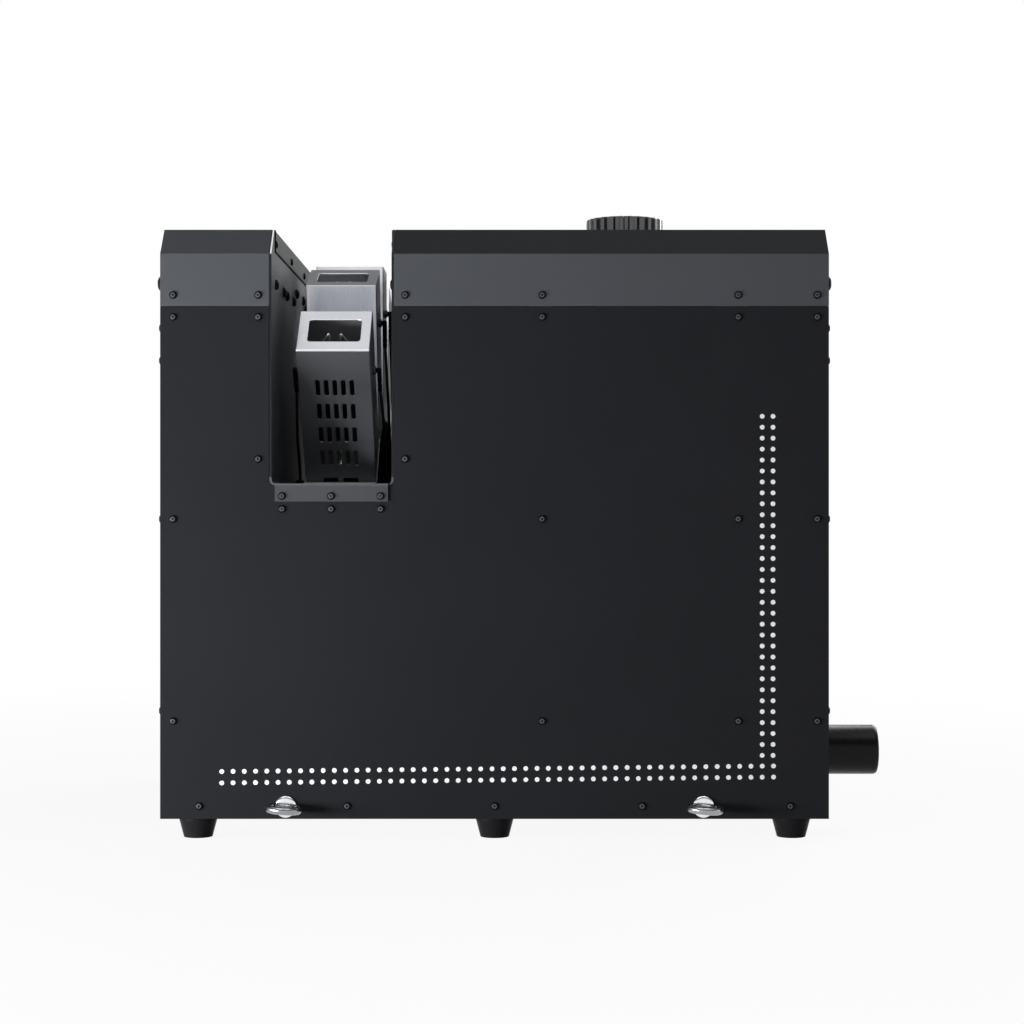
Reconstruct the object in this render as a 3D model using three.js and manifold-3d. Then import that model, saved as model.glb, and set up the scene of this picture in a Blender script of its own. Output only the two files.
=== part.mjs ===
// Stage flame machine: a floor-standing sheet metal cabinet with an open slot through its depth,
// in which five chimneys stand in a fan over five burner jets. Millimetres, +Z up, front at -Y.
// The source frame has X = 0 at the middle of the cabinet's width, Y = 0 at the middle of its
// depth and Z = 0 at the floor. The finished group is centred over its own footprint at the end.

import * as THREE from 'three';
import { mergeVertices } from 'three/addons/utils/BufferGeometryUtils.js';
import Module from 'manifold-3d';

const wasm = await Module();
wasm.setup();

// Cabinet
const cabinetWidth = 650;
const cabinetDepth = 550;
const cabinetHeight = 576;
const sheet = 2;
const fit = 0.3;
const overrun = 1;
const flangeWidth = 20;
const trayLip = 25;
const lidSkirt = 51;
const lidChamfer = 26.6;
const lidTab = 32;
const sideBoltRadius = 7;
const sideBoltProud = 3;
const sideBoltHeight = 521;
const sideBoltSetback = 8.5;

// Flame slot
const slotSetback = 108.3;
const slotWidth = 116.6;
const slotFloor = 326;
const slotCorner = 3.5;
const slotFlange = 21;
const slotFlangeSetback = 30;
const slotSideFlange = 24;
const slotBacking = 16;
const stripWidth = 109.8;
const stripDrop = 17.5;
const pipeSlotWidth = 24;
const pipeSlotLength = 240;

// Feet
const footHeight = 20;
const footTopRadius = 18.5;
const footBottomRadius = 14.25;
const footRim = 3;
const footInset = 34;
const footSetback = 23;

// Eye bolts
const eyeInset = 122;
const eyeHeight = 12;
const eyeRingRadius = 14;
const eyeBarRadius = 4;
const eyeCollarRadius = 10;
const eyeCollarThickness = 6;
const eyeCollarShoulder = 3;
const eyeNeckRadius = 6;
const eyeReach = 18;
const eyeShankRadius = 4;
const eyeShankLength = 13;
const eyeShankClearance = 0.5;

// Inner partitions
const tankBay = 210.4;
const fanBay = 78.4;

// Fan of chimneys
const fanCount = 5;
const fanStep = THREE.MathUtils.degToRad(20);
const fanHub = 195.3;
const fanReach = 369;
const chimneyWidth = 72.2;
const chimneyDepth = 66.3;
const chimneyWall = 1.5;
const mouthWidth = 52;
const mouthDepth = 37;
const mouthCorner = 3.5;
const mouthPlate = 2;
const airSlotRows = 4;
const airSlotColumns = 5;
const airSlotFirst = 46.5;
const airSlotRowPitch = 29.5;
const airSlotColumnPitch = 8.5;
const airSlotLength = 19.6;
const airSlotWidth = 4.3;
const notchWidth = 14.5;
const notchOffset = 10.4;
const notchHeight = 4.5;
const standGap = 0.5;

// Burner carrier and jets
const carrierWidth = 74;
const carrierFoot = 16;
const jetPipeRadius = 3;
const jetPipeClearance = 1;
const jetFlangeRadius = 10;
const jetFlangeThickness = 5;
const jetBodyRadius = 7;
const jetBodyHeight = 13;
const jetTipRadius = 3;
const jetTipHeight = 10;
const jetBoreRadius = 1.2;
const jetBoreDepth = 6;
const jetNutRadius = 6;
const jetNutHeight = 12;

// Electrodes
const electrodeDrop = 49;
const insulatorRadius = 4;
const insulatorClearance = 0.7;
const insulatorInside = 4;
const washerRadius = 7;
const washerThickness = 3;
const bootRadius = 5.5;
const bootLength = 11;
const sleeveRadius = 4.5;
const sleeveTop = 5.5;
const sleeveLength = 32;
const leadRadius = 2.5;
const leadOffset = 9;
const leadBend = 28;
const grommetRadius = 6.5;
const grommetHeight = 5;
const wireRadius = 1;
const sparkGap = 10;
const wirePeakGap = 13;
const wirePeakDrop = 3;
const wireTipDrop = 17;
const wireBendLength = 4;

// Valve block
const valveRadius = 62;
const valveHalfThickness = 25;
const valveDrop = 30;
const coilCount = 5;
const coilPitch = 21;
const coilRadius = 9.5;
const coilLength = 34;
const coilDrop = 14;
const pedestalWidth = 40;
const pedestalDepth = 60;
const pedestalFoot = 20;
const pedestalPlate = 4;

// Tank and cap
const capOffset = -6.4;
const capSetback = 170;
const capRadius = 40;
const capHeight = 28;
const capTopThickness = 5;
const capWall = 5;
const capFluteCount = 24;
const capFluteDepth = 2.2;
const capLift = 1;
const neckRadius = 30;
const neckWall = 3;
const neckHeight = 18;
const neckClearance = 0.8;
const gasketThickness = 2;
const gasketWidth = 5;
const tankWidth = 182;
const tankDepth = 280;
const tankHeight = 250;
const tankSetback = 30;
const tankWall = 2.5;
const tankCorner = 22;
const shelfHeight = 228;
const shelfLip = 20;
const spigotRadius = 9;
const spigotClearance = 1;

// Pump and pressure pipe
const pumpHeadWidth = 64;
const pumpHeadDepth = 60;
const pumpHeadHeight = 84;
const pumpY = -30;
const pumpPortOffset = 15;
const motorRadius = 34;
const motorLength = 112;
const motorHeight = 46;
const motorCapRadius = 28;
const motorCapLength = 12;
const pumpPlate = 4;
const pumpPlateWidth = 100;
const pumpPlateMargin = 14;
const cradleWidth = 44;
const cradleThickness = 14;
const pressurePipeRadius = 5;
const pressurePipeHeight = 178;
const pressurePipeBend = 22;
const pressurePipeClearance = 1.5;

// Stub pipe and purge fan
const pipeRadius = 25;
const pipeWall = 2.5;
const pipeRim = 3;
const pipeReach = 62;
const pipeHeight = 56.7;
const pipeSetback = 103;
const funnelRadius = 38;
const funnelLength = 28;
const funnelRim = 3;
const fanFrameSize = 80;
const fanFrameThickness = 25;
const fanFrameCorner = 6;
const fanBore = 36.5;
const fanHubRadius = 15;
const fanMotorThickness = 7;
const fanStrutWidth = 5;
const fanStrutCount = 3;
const fanBladeCount = 7;
const fanBladeClearance = 1.5;
const fanBladeThickness = 1.6;
const fanBladeChord = 15;
const fanBladePitch = THREE.MathUtils.degToRad(38);
const fanRotorLength = 15;
const fanRotorGap = 0.4;

// Electric units
const supplyWidth = 90;
const supplyDepth = 240;
const supplyHeight = 56;
const supplyChamfer = 5;
const ignitionWidth = 100;
const ignitionDepth = 290;
const ignitionHeight = 96;
const ignitionChamfer = 5;
const ignitionTowerRadius = 9;
const ignitionTowerHeight = 18;
const ignitionTowerPitch = 52;
const ignitionSetback = 16;

// Control plate at the rear, heights above the cabinet's underside
const controlGap = 1.2;
const controlWidth = 112;
const controlLift = 141;
const controlMargin = 27.5;
const controlCorner = 5;
const controlOpeningMargin = 8;
const displayWidth = 64;
const displayHeight = 26;
const displayGap = 26;
const displayMargin = 24;
const displayFlange = 3;
const displayFlangeThickness = 1.5;
const buttonCount = 4;
const buttonPitch = 20;
const buttonGap = 35;
const buttonRadius = 5.5;
const buttonProud = 4;
const buttonFlangeRadius = 7;
const buttonFlangeThickness = 1.5;
const buttonTravel = 1.5;
const buttonClearance = 0.4;
const stopGap = 32.5;
const stopHeadRadius = 20;
const stopHeadThickness = 14;
const stopDomeShares = [[1, 0.5], [0.85, 0.15], [0.45, 0]];
const stopStemRadius = 8;
const stopStemLength = 34;
const stopCollarRadius = 24;
const stopCollarThickness = 4;
const stopTravel = 5;
const stopRelease = 1.5;
const stopClearance = 0.5;
const socketRadius = 12;
const socketBoreRadius = 9.5;
const socketInside = 22;
const socketFloor = 3;
const socketFlangeWidth = 26;
const socketFlangeHeight = 31;
const socketFlangeThickness = 2;
const socketOffset = 24;
const socketRowGap = 35;
const rockerWidth = 16;
const rockerHeight = 26;
const rockerDepth = 12;
const rockerProud = 3;
const rockerClearance = 0.8;
const rockerPivotDepth = 2;
const rockerTilt = THREE.MathUtils.degToRad(8);
const boardWidth = 96;
const boardHeight = 108;
const boardThickness = 1.6;
const boardGap = 9;
const standoffRadius = 3;
const switchSize = 6;
const switchGap = 0.6;

// Vents in the rear panel
const ventRows = 8;
const ventColumns = 2;
const ventLength = 60;
const ventHeight = 5;
const ventPitch = 14;
const ventColumnPitch = 78;
const ventBottom = 60;

// Facets round a full circle, from coarse to fine
const thin = 6;
const coarse = 8;
const medium = 12;
const fine = 16;
const smooth = 24;
const cornerSteps = 3;

// Levels and faces shared by the pieces
const bottom = footHeight;
const top = bottom + cabinetHeight;
const seam = top - lidSkirt - lidChamfer;
const left = -cabinetWidth / 2;
const right = cabinetWidth / 2;
const front = -cabinetDepth / 2;
const rear = cabinetDepth / 2;
const slotLeft = left + slotSetback;
const slotRight = slotLeft + slotWidth;
const slotCentre = (slotLeft + slotRight) / 2;
const slotBase = bottom + slotFloor;
const trayTop = bottom + sheet + fit;
const lipTop = bottom + trayLip + fit;
const panelTop = seam - fit;
const tabTop = seam + lidTab;
const frontBehind = front + sheet + fit;
const rearBehind = rear - sheet - fit;
const chamferOffset = sheet * Math.tan(Math.PI / 8);
const slotLidBottom = top - slotFlange;
const hub = bottom + fanHub;
const capY = front + capSetback;
const webRight = right - fanBay;
const webLeft = webRight - tankBay;
const bayMiddle = (webLeft + webRight) / 2;
const capX = bayMiddle + capOffset;
const pipeZ = bottom + pipeHeight;
const pipeY = front + pipeSetback;
const eyeZ = bottom + eyeHeight;

// Control plate, stacked upwards from its lower edge
const controlX = webLeft - controlGap - controlWidth / 2;
const controlBase = bottom + controlLift;
const socketZ = controlBase + controlMargin + socketFlangeHeight / 2;
const powerZ = socketZ + socketFlangeHeight + socketRowGap;
const stopZ = powerZ + socketFlangeHeight / 2 + stopGap + stopCollarRadius;
const buttonZ = stopZ + stopCollarRadius + buttonGap + buttonFlangeRadius;
const displayZ = buttonZ + buttonFlangeRadius + displayGap + displayHeight / 2;
const controlTop = displayZ + displayHeight / 2 + displayMargin;
const boardZ = (buttonZ + displayZ) / 2;

// The carrier's end facets come down to its feet on the slot floor
const carrierTop = (slotBase + fit + sheet - hub) / Math.cos(fanStep * 2.5) * Math.cos(fanStep / 2);
const chimneyInner = carrierTop + standGap;

// Surface finishes
function finish(color, roughness, metalness) {
  return new THREE.MeshStandardMaterial({ color, roughness, metalness });
}

const finishes = {
  blackPaint: () => finish(0x2a2a2c, 0.55, 0.2),
  greyPaint: () => finish(0x4e4f53, 0.5, 0.25),
  steel: () => finish(0xa9abb0, 0.32, 0.9),
  chrome: () => finish(0xd8dade, 0.12, 1),
  brass: () => finish(0xb08d4a, 0.35, 0.9),
  rubber: () => finish(0x18181a, 0.8, 0),
  blackPlastic: () => finish(0x111113, 0.35, 0),
  glossPlastic: () => finish(0x0b0b0c, 0.15, 0),
  ceramic: () => finish(0xe8e4da, 0.4, 0),
  tank: () => finish(0xbfc2c6, 0.35, 0.85),
  board: () => finish(0x1d5a37, 0.5, 0),
  glass: () => finish(0x0a1420, 0.1, 0),
  red: () => finish(0xb3121a, 0.35, 0),
};

// Turn a closed geometry into a solid, with its faces outward
function solidOf(geometry) {
  const bare = geometry.clone();
  bare.deleteAttribute('normal');
  bare.deleteAttribute('uv');
  const merged = mergeVertices(bare);
  const places = merged.attributes.position.array;
  const corners = merged.index.array;
  const triangles = [];
  let volume = 0;
  for (let i = 0; i < corners.length; i += 3) {
    const [a, b, c] = [corners[i], corners[i + 1], corners[i + 2]];
    if (a === b || b === c || c === a) {
      continue;
    }
    triangles.push(a, b, c);
    const pa = new THREE.Vector3().fromArray(places, 3 * a);
    const pb = new THREE.Vector3().fromArray(places, 3 * b);
    const pc = new THREE.Vector3().fromArray(places, 3 * c);
    volume += pa.dot(pb.cross(pc));
  }
  if (volume < 0) {
    triangles.reverse();
  }
  return new wasm.Manifold(new wasm.Mesh({
    numProp: 3,
    vertProperties: new Float32Array(places),
    triVerts: new Uint32Array(triangles),
  }));
}

function join(...solids) {
  return solids.reduce((whole, part) => whole.add(part));
}

function cut(solid, ...tools) {
  return tools.reduce((rest, tool) => rest.subtract(tool), solid);
}

const machine = new THREE.Group();

// Add one piece to the machine under its own name
function addPiece(name, solid, finishName, matrix = null) {
  const mesh = solid.getMesh();
  const geometry = new THREE.BufferGeometry();
  geometry.setAttribute('position', new THREE.BufferAttribute(mesh.vertProperties, mesh.numProp));
  geometry.setIndex(new THREE.BufferAttribute(mesh.triVerts, 1));
  geometry.computeVertexNormals();
  const piece = new THREE.Mesh(geometry, finishes[finishName]());
  piece.name = name;
  if (matrix) {
    piece.applyMatrix4(matrix);
  }
  machine.add(piece);
}

// A block between two corners
function block(x0, x1, y0, y1, z0, z1, matrix) {
  const geometry = new THREE.BoxGeometry(1, 1, 1);
  const places = geometry.attributes.position;
  for (let i = 0; i < places.count; i += 1) {
    const x = places.getX(i) > 0 ? x1 : x0;
    const y = places.getY(i) > 0 ? y1 : y0;
    const z = places.getZ(i) > 0 ? z1 : z0;
    places.setXYZ(i, x, y, z);
  }
  return solidOf(matrix ? geometry.applyMatrix4(matrix) : geometry);
}

// An outline, with any holes, drawn out along X, Y or Z between two places
function prism(axis, outline, from, to, holes = [], matrix = null) {
  const shape = new THREE.Shape(outline);
  holes.forEach((hole) => shape.holes.push(new THREE.Path(hole)));
  const geometry = new THREE.ExtrudeGeometry(shape, { depth: 1, steps: 1, bevelEnabled: false });
  const places = geometry.attributes.position;
  for (let i = 0; i < places.count; i += 1) {
    const u = places.getX(i);
    const v = places.getY(i);
    const far = places.getZ(i) > 0;
    if (axis === 'x') {
      places.setXYZ(i, far ? to : from, u, v);
    } else if (axis === 'y') {
      places.setXYZ(i, u, far ? from : to, v);
    } else {
      places.setXYZ(i, u, v, far ? to : from);
    }
  }
  return solidOf(matrix ? geometry.applyMatrix4(matrix) : geometry);
}

// A turned body about Z, X or Y, whose outline is pairs of radius and place along the axis
function turned(axis, outline, sides, matrix = null) {
  const points = outline.map(([radius, along]) => new THREE.Vector2(radius, along));
  const geometry = new THREE.LatheGeometry(points, sides);
  if (axis === 'z') {
    geometry.rotateX(Math.PI / 2);
  } else if (axis === 'x') {
    geometry.rotateZ(-Math.PI / 2);
  }
  return solidOf(matrix ? geometry.applyMatrix4(matrix) : geometry);
}

// A plain round bar between two places along an axis
function bar(axis, radius, from, to, sides, matrix = null) {
  return turned(axis, [[0, from], [radius, from], [radius, to], [0, to]], sides, matrix);
}

// A round tube or wire along a curve
function sweep(curve, radius, sides, steps) {
  const section = new THREE.Shape(circlePoints(0, 0, radius, sides));
  return solidOf(new THREE.ExtrudeGeometry(section, {
    steps,
    bevelEnabled: false,
    extrudePath: curve,
  }));
}

function circlePoints(u, v, radius, sides) {
  return arcPoints(u, v, radius, 0, 2 * Math.PI, sides).slice(0, sides);
}

function arcPoints(u, v, radius, from, to, steps) {
  const points = [];
  for (let i = 0; i <= steps; i += 1) {
    const angle = from + (to - from) * (i / steps);
    points.push(new THREE.Vector2(u + radius * Math.cos(angle), v + radius * Math.sin(angle)));
  }
  return points;
}

function rectangle(u0, u1, v0, v1) {
  return [[u0, v0], [u1, v0], [u1, v1], [u0, v1]].map(([u, v]) => new THREE.Vector2(u, v));
}

function roundedRectangle(u0, u1, v0, v1, radius) {
  const quarter = Math.PI / 2;
  return [
    ...arcPoints(u1 - radius, v1 - radius, radius, 0, quarter, cornerSteps),
    ...arcPoints(u0 + radius, v1 - radius, radius, quarter, 2 * quarter, cornerSteps),
    ...arcPoints(u0 + radius, v0 + radius, radius, 2 * quarter, 3 * quarter, cornerSteps),
    ...arcPoints(u1 - radius, v0 + radius, radius, 3 * quarter, 4 * quarter, cornerSteps),
  ];
}

// A slot with pointed-off ends, long in v
function slotPoints(u, v, width, length) {
  const half = width / 2;
  const straight = length / 2 - half / 2;
  return [
    new THREE.Vector2(u + half, v + straight),
    new THREE.Vector2(u, v + length / 2),
    new THREE.Vector2(u - half, v + straight),
    new THREE.Vector2(u - half, v - straight),
    new THREE.Vector2(u, v - length / 2),
    new THREE.Vector2(u + half, v - straight),
  ];
}

// The frame of one chimney: Z along its axis from the hub, X across the cabinet
function fanFrame(tilt) {
  const turn = new THREE.Matrix4().makeRotationX(tilt);
  return new THREE.Matrix4().makeTranslation(slotCentre, 0, hub).multiply(turn);
}

function fanTilt(index) {
  return ((fanCount - 1) / 2 - index) * fanStep;
}

// Base tray with four upturned lips
function addBaseTray() {
  const x0 = left + sheet + fit;
  const x1 = right - sheet - fit;
  const body = block(x0, x1, frontBehind, rearBehind, bottom, bottom + trayLip);
  const inside = block(
    x0 + sheet,
    x1 - sheet,
    frontBehind + sheet,
    rearBehind - sheet,
    bottom + sheet,
    lipTop + overrun,
  );
  const holes = eyePlaces().map((x) => bar(
    'y',
    eyeShankRadius + eyeShankClearance,
    front,
    frontBehind + sheet + overrun,
    medium,
    new THREE.Matrix4().makeTranslation(x, 0, eyeZ),
  ));
  addPiece('base_tray', cut(body, inside, ...holes), 'blackPaint');
}

// Outline of the front and rear panels with the U notch of the flame slot
function panelOutline() {
  const margin = sheet + fit;
  const corner = slotCorner + margin;
  const notchLeft = slotLeft - margin;
  const notchRight = slotRight + margin;
  const notchBase = slotBase - margin;
  return [
    new THREE.Vector2(left, bottom),
    new THREE.Vector2(right, bottom),
    new THREE.Vector2(right, panelTop),
    new THREE.Vector2(notchRight, panelTop),
    ...arcPoints(notchRight - corner, notchBase + corner, corner, 0, -Math.PI / 2, cornerSteps),
    ...arcPoints(notchLeft + corner, notchBase + corner, corner, -Math.PI / 2, -Math.PI, cornerSteps),
    new THREE.Vector2(notchLeft, panelTop),
    new THREE.Vector2(left, panelTop),
  ];
}

function addFrontPanel() {
  const holes = eyePlaces().map((x) => (
    circlePoints(x, eyeZ, eyeShankRadius + eyeShankClearance, medium)
  ));
  addPiece('front_panel', prism('y', panelOutline(), front, front + sheet, holes), 'blackPaint');
}

function addRearPanel() {
  const half = controlWidth / 2 - controlOpeningMargin;
  const opening = rectangle(
    controlX - half,
    controlX + half,
    controlBase + controlOpeningMargin,
    controlTop - controlOpeningMargin,
  );
  const vents = [];
  for (let row = 0; row < ventRows; row += 1) {
    for (let column = 0; column < ventColumns; column += 1) {
      const x = bayMiddle + (column - (ventColumns - 1) / 2) * ventColumnPitch;
      const z = bottom + ventBottom + row * ventPitch;
      const slot = slotPoints(z, x, ventHeight, ventLength);
      vents.push(slot.map((point) => new THREE.Vector2(point.y, point.x)));
    }
  }
  const plate = prism('y', panelOutline(), rear - sheet, rear, [opening, ...vents]);
  addPiece('rear_panel', plate, 'blackPaint');
}

// Side panel with its front and rear fixing flanges
function addSidePanel(name, face, inward, holes) {
  const x0 = Math.min(face, face + inward * sheet);
  const x1 = Math.max(face, face + inward * sheet);
  const outline = rectangle(frontBehind, rearBehind, bottom, panelTop);
  const plate = prism('x', outline, x0, x1, holes);
  const flanges = [[frontBehind, frontBehind + sheet], [rearBehind - sheet, rearBehind]].map(([y0, y1]) => {
    const edge = face + inward * (sheet + flangeWidth);
    const root = face + inward * (sheet / 2);
    const clear = face + inward * (sheet + fit);
    const low = block(Math.min(edge, root), Math.max(edge, root), y0, y1, lipTop, panelTop);
    const high = block(Math.min(edge, clear), Math.max(edge, clear), y0, y1, panelTop - flangeWidth, tabTop);
    return join(low, high);
  });
  addPiece(name, join(plate, ...flanges), 'blackPaint');
}

// Side profile of the lid hood: skirt, chamfer and top, front and rear
function hoodOutline() {
  return [
    [front, seam],
    [front, seam + lidSkirt],
    [front + lidChamfer, top],
    [rear - lidChamfer, top],
    [rear, seam + lidSkirt],
    [rear, seam],
  ].map(([y, z]) => new THREE.Vector2(y, z));
}

function hoodInsideOutline() {
  return [
    [front + sheet, seam - overrun],
    [front + sheet, seam + lidSkirt - chamferOffset],
    [front + lidChamfer + chamferOffset, top - sheet],
    [rear - lidChamfer - chamferOffset, top - sheet],
    [rear - sheet, seam + lidSkirt - chamferOffset],
    [rear - sheet, seam - overrun],
  ].map(([y, z]) => new THREE.Vector2(y, z));
}

// Lid: bent hood, closed side skirt with its bolt heads, and a flange that hangs on the slot wall
function addLid(name, side, slotFace, outward, holes) {
  const hood = prism('x', hoodOutline(), Math.min(slotFace, side), Math.max(slotFace, side));
  const inner = side - outward * sheet;
  const hang = slotFace + outward * sheet;
  const inside = prism('x', hoodInsideOutline(), Math.min(hang, inner), Math.max(hang, inner));
  const edge = slotFace + outward * (sheet + fit);
  const past = slotFace - outward * overrun;
  const x0 = Math.min(edge, past);
  const x1 = Math.max(edge, past);
  const y0 = front + slotFlangeSetback;
  const y1 = rear - slotFlangeSetback;
  const clearances = [
    block(x0, x1, front - overrun, y0, seam - overrun, top + overrun),
    block(x0, x1, y1, rear + overrun, seam - overrun, top + overrun),
    block(x0, x1, y0 - overrun, y1 + overrun, seam - overrun, slotLidBottom),
  ];
  const heads = [front + sideBoltSetback, rear - sideBoltSetback].map((y) => turned('x', [
    [0, side - outward * sheet / 2],
    [sideBoltRadius, side - outward * sheet / 2],
    [sideBoltRadius, side + outward * sideBoltProud / 4],
    [sideBoltRadius * 0.9, side + outward * sideBoltProud * 0.7],
    [sideBoltRadius * 0.65, side + outward * sideBoltProud],
    [0, side + outward * sideBoltProud],
  ], coarse, new THREE.Matrix4().makeTranslation(0, y, bottom + sideBoltHeight)));
  addPiece(name, join(cut(hood, inside, ...clearances, ...holes), ...heads), 'greyPaint');
}

// Slot liner: a U channel through the whole depth, its side flanges behind the panels,
// its strips folded down over them, and the backing that the lid flanges are screwed to
function addSlotLiner() {
  const outer = slotCorner + sheet;
  const outline = [
    new THREE.Vector2(slotLeft - sheet, top),
    ...arcPoints(slotLeft + slotCorner, slotBase + slotCorner, outer, Math.PI, 1.5 * Math.PI, cornerSteps),
    ...arcPoints(slotRight - slotCorner, slotBase + slotCorner, outer, -Math.PI / 2, 0, cornerSteps),
    new THREE.Vector2(slotRight + sheet, top),
    new THREE.Vector2(slotRight, top),
    ...arcPoints(slotRight - slotCorner, slotBase + slotCorner, slotCorner, 0, -Math.PI / 2, cornerSteps),
    ...arcPoints(
      slotLeft + slotCorner, slotBase + slotCorner, slotCorner,
      -Math.PI / 2, -Math.PI, cornerSteps,
    ),
    new THREE.Vector2(slotLeft, top),
  ];
  const channel = prism('y', outline, front, rear);
  const x0 = slotLeft - sheet - overrun;
  const x1 = slotRight + sheet + overrun;
  const flangeRoom = block(
    x0,
    x1,
    front + slotFlangeSetback - fit,
    rear - slotFlangeSetback + fit,
    slotLidBottom - fit,
    top + overrun,
  );
  const corners = [[front, 1], [rear, -1]].map(([face, inward]) => prism('x', [
    new THREE.Vector2(face - inward * overrun, seam + lidSkirt - overrun),
    new THREE.Vector2(face + inward * (lidChamfer + overrun), top + overrun),
    new THREE.Vector2(face - inward * overrun, top + overrun),
  ], x0, x1));
  const pipeSlot = block(
    slotCentre - pipeSlotWidth / 2,
    slotCentre + pipeSlotWidth / 2,
    -pipeSlotLength / 2,
    pipeSlotLength / 2,
    slotBase - sheet - overrun,
    slotBase + overrun,
  );
  const wall = cut(channel, flangeRoom, ...corners, pipeSlot);
  const backings = [[slotLeft, -1], [slotRight, 1]].map(([face, outward]) => {
    const near = face + outward * (sheet / 2);
    const middle = face + outward * (sheet + fit);
    const far = face + outward * (2 * sheet + fit);
    const backing = [
      new THREE.Vector2(near, slotLidBottom - fit - slotBacking),
      new THREE.Vector2(far, slotLidBottom - fit - slotBacking),
      new THREE.Vector2(far, top - sheet - fit),
      new THREE.Vector2(middle, top - sheet - fit),
      new THREE.Vector2(middle, slotLidBottom - fit),
      new THREE.Vector2(near, slotLidBottom - fit),
    ];
    return prism('y', backing, front + slotFlangeSetback, rear - slotFlangeSetback);
  });
  const flanges = [frontBehind, rearBehind - sheet].flatMap((y) => [
    block(slotLeft - slotSideFlange, slotLeft - sheet / 2, y, y + sheet, slotBase + slotCorner, tabTop),
    block(slotRight + sheet / 2, slotRight + slotSideFlange, y, y + sheet, slotBase + slotCorner, tabTop),
  ]);
  const strips = [[front, -1], [rear, 1]].map(([face, outward]) => prism('x', [
    [face - outward * overrun, slotBase - sheet / 2],
    [face + outward * fit, slotBase - sheet / 2],
    [face + outward * fit, slotBase - stripDrop],
    [face + outward * (fit + sheet), slotBase - stripDrop],
    [face + outward * (fit + sheet), slotBase],
    [face - outward * overrun, slotBase],
  ].map(([y, z]) => new THREE.Vector2(y, z)), slotCentre - stripWidth / 2, slotCentre + stripWidth / 2));
  addPiece('slot_liner', join(wall, ...backings, ...flanges, ...strips), 'greyPaint');
}

// Partition between two bays, with fixing flanges turned into the tank bay
function addPartition(name, web, inward, holes) {
  const lip = frontBehind + sheet + fit;
  const lipRear = rearBehind - sheet - fit;
  const outline = [
    [lip, trayTop],
    [lipRear, trayTop],
    [lipRear, lipTop],
    [rearBehind, lipTop],
    [rearBehind, tabTop],
    [frontBehind, tabTop],
    [frontBehind, lipTop],
    [lip, lipTop],
  ].map(([y, z]) => new THREE.Vector2(y, z));
  const far = web + inward * sheet;
  const plate = prism('x', outline, Math.min(web, far), Math.max(web, far), holes);
  const edge = web + inward * flangeWidth;
  const root = web + inward * (sheet / 2);
  const x0 = Math.min(edge, root);
  const x1 = Math.max(edge, root);
  const flanges = [
    block(x0, x1, frontBehind, frontBehind + sheet, lipTop, tabTop),
    block(x0, x1, rearBehind - sheet, rearBehind, lipTop, tabTop),
  ];
  addPiece(name, join(plate, ...flanges), 'greyPaint');
}

// Tapered rubber feet, three along the front and three along the rear
function addFeet() {
  const outline = [
    [0, 0],
    [footBottomRadius - footRim / 3, 0],
    [footBottomRadius, footRim / 3],
    [footTopRadius, footHeight - fit - footRim],
    [footTopRadius, footHeight - fit],
    [0, footHeight - fit],
  ];
  let number = 1;
  [front + footSetback, rear - footSetback].forEach((y) => {
    [left + footInset, 0, right - footInset].forEach((x) => {
      const place = new THREE.Matrix4().makeTranslation(x, y, 0);
      addPiece(`foot_${number}`, turned('z', outline, fine, place), 'rubber');
      number += 1;
    });
  });
}

// Lifting eye bolts screwed through the bottom of the front
function eyePlaces() {
  return [left + eyeInset, right - eyeInset];
}

function addEyeBolts() {
  const names = ['eye_bolt_left', 'eye_bolt_right'];
  const ringY = front - eyeReach;
  eyePlaces().forEach((x, index) => {
    const collar = turned('y', [
      [0, front - eyeReach + eyeRingRadius],
      [eyeNeckRadius, front - eyeReach + eyeRingRadius],
      [eyeNeckRadius, front - eyeCollarThickness],
      [eyeCollarRadius, front - eyeCollarShoulder],
      [eyeCollarRadius, front - fit],
      [eyeShankRadius, front - fit],
      [eyeShankRadius, front + eyeShankLength],
      [0, front + eyeShankLength],
    ], medium, new THREE.Matrix4().makeTranslation(x, 0, eyeZ));
    const ring = solidOf(new THREE.TorusGeometry(eyeRingRadius, eyeBarRadius, coarse, fine)
      .translate(x, ringY, eyeZ));
    addPiece(names[index], join(collar, ring), 'chrome');
  });
}

// The folded box of a chimney, with a turned-in mouth and air slots in its outward face
function chimneySolid() {
  const half = chimneyWidth / 2;
  const deep = chimneyDepth / 2;
  const body = block(-half, half, -deep, deep, chimneyInner, fanReach);
  const inside = block(
    chimneyWall - half,
    half - chimneyWall,
    chimneyWall - deep,
    deep - chimneyWall,
    chimneyInner - overrun,
    fanReach - mouthPlate,
  );
  const mouthOutline = roundedRectangle(
    -mouthWidth / 2,
    mouthWidth / 2,
    -mouthDepth / 2,
    mouthDepth / 2,
    mouthCorner,
  );
  const mouth = prism('z', mouthOutline, fanReach - mouthPlate - overrun, fanReach + overrun);
  const outside = -deep - overrun;
  const within = chimneyWall + overrun - deep;
  const tools = [inside, mouth];
  for (let row = 0; row < airSlotRows; row += 1) {
    for (let column = 0; column < airSlotColumns; column += 1) {
      const x = (column - (airSlotColumns - 1) / 2) * airSlotColumnPitch;
      const z = fanReach - airSlotFirst - row * airSlotRowPitch;
      tools.push(prism('y', slotPoints(x, z, airSlotWidth, airSlotLength), outside, within));
    }
  }
  [-notchOffset, notchOffset].forEach((x) => {
    tools.push(block(
      x - notchWidth / 2,
      x + notchWidth / 2,
      outside,
      within,
      chimneyInner - overrun,
      chimneyInner + notchHeight,
    ));
  });
  const hole = insulatorRadius + insulatorClearance;
  const level = new THREE.Matrix4().makeTranslation(0, 0, fanReach - electrodeDrop);
  tools.push(bar('x', hole, -half - overrun, half + overrun, medium, level));
  return cut(body, ...tools);
}

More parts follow.
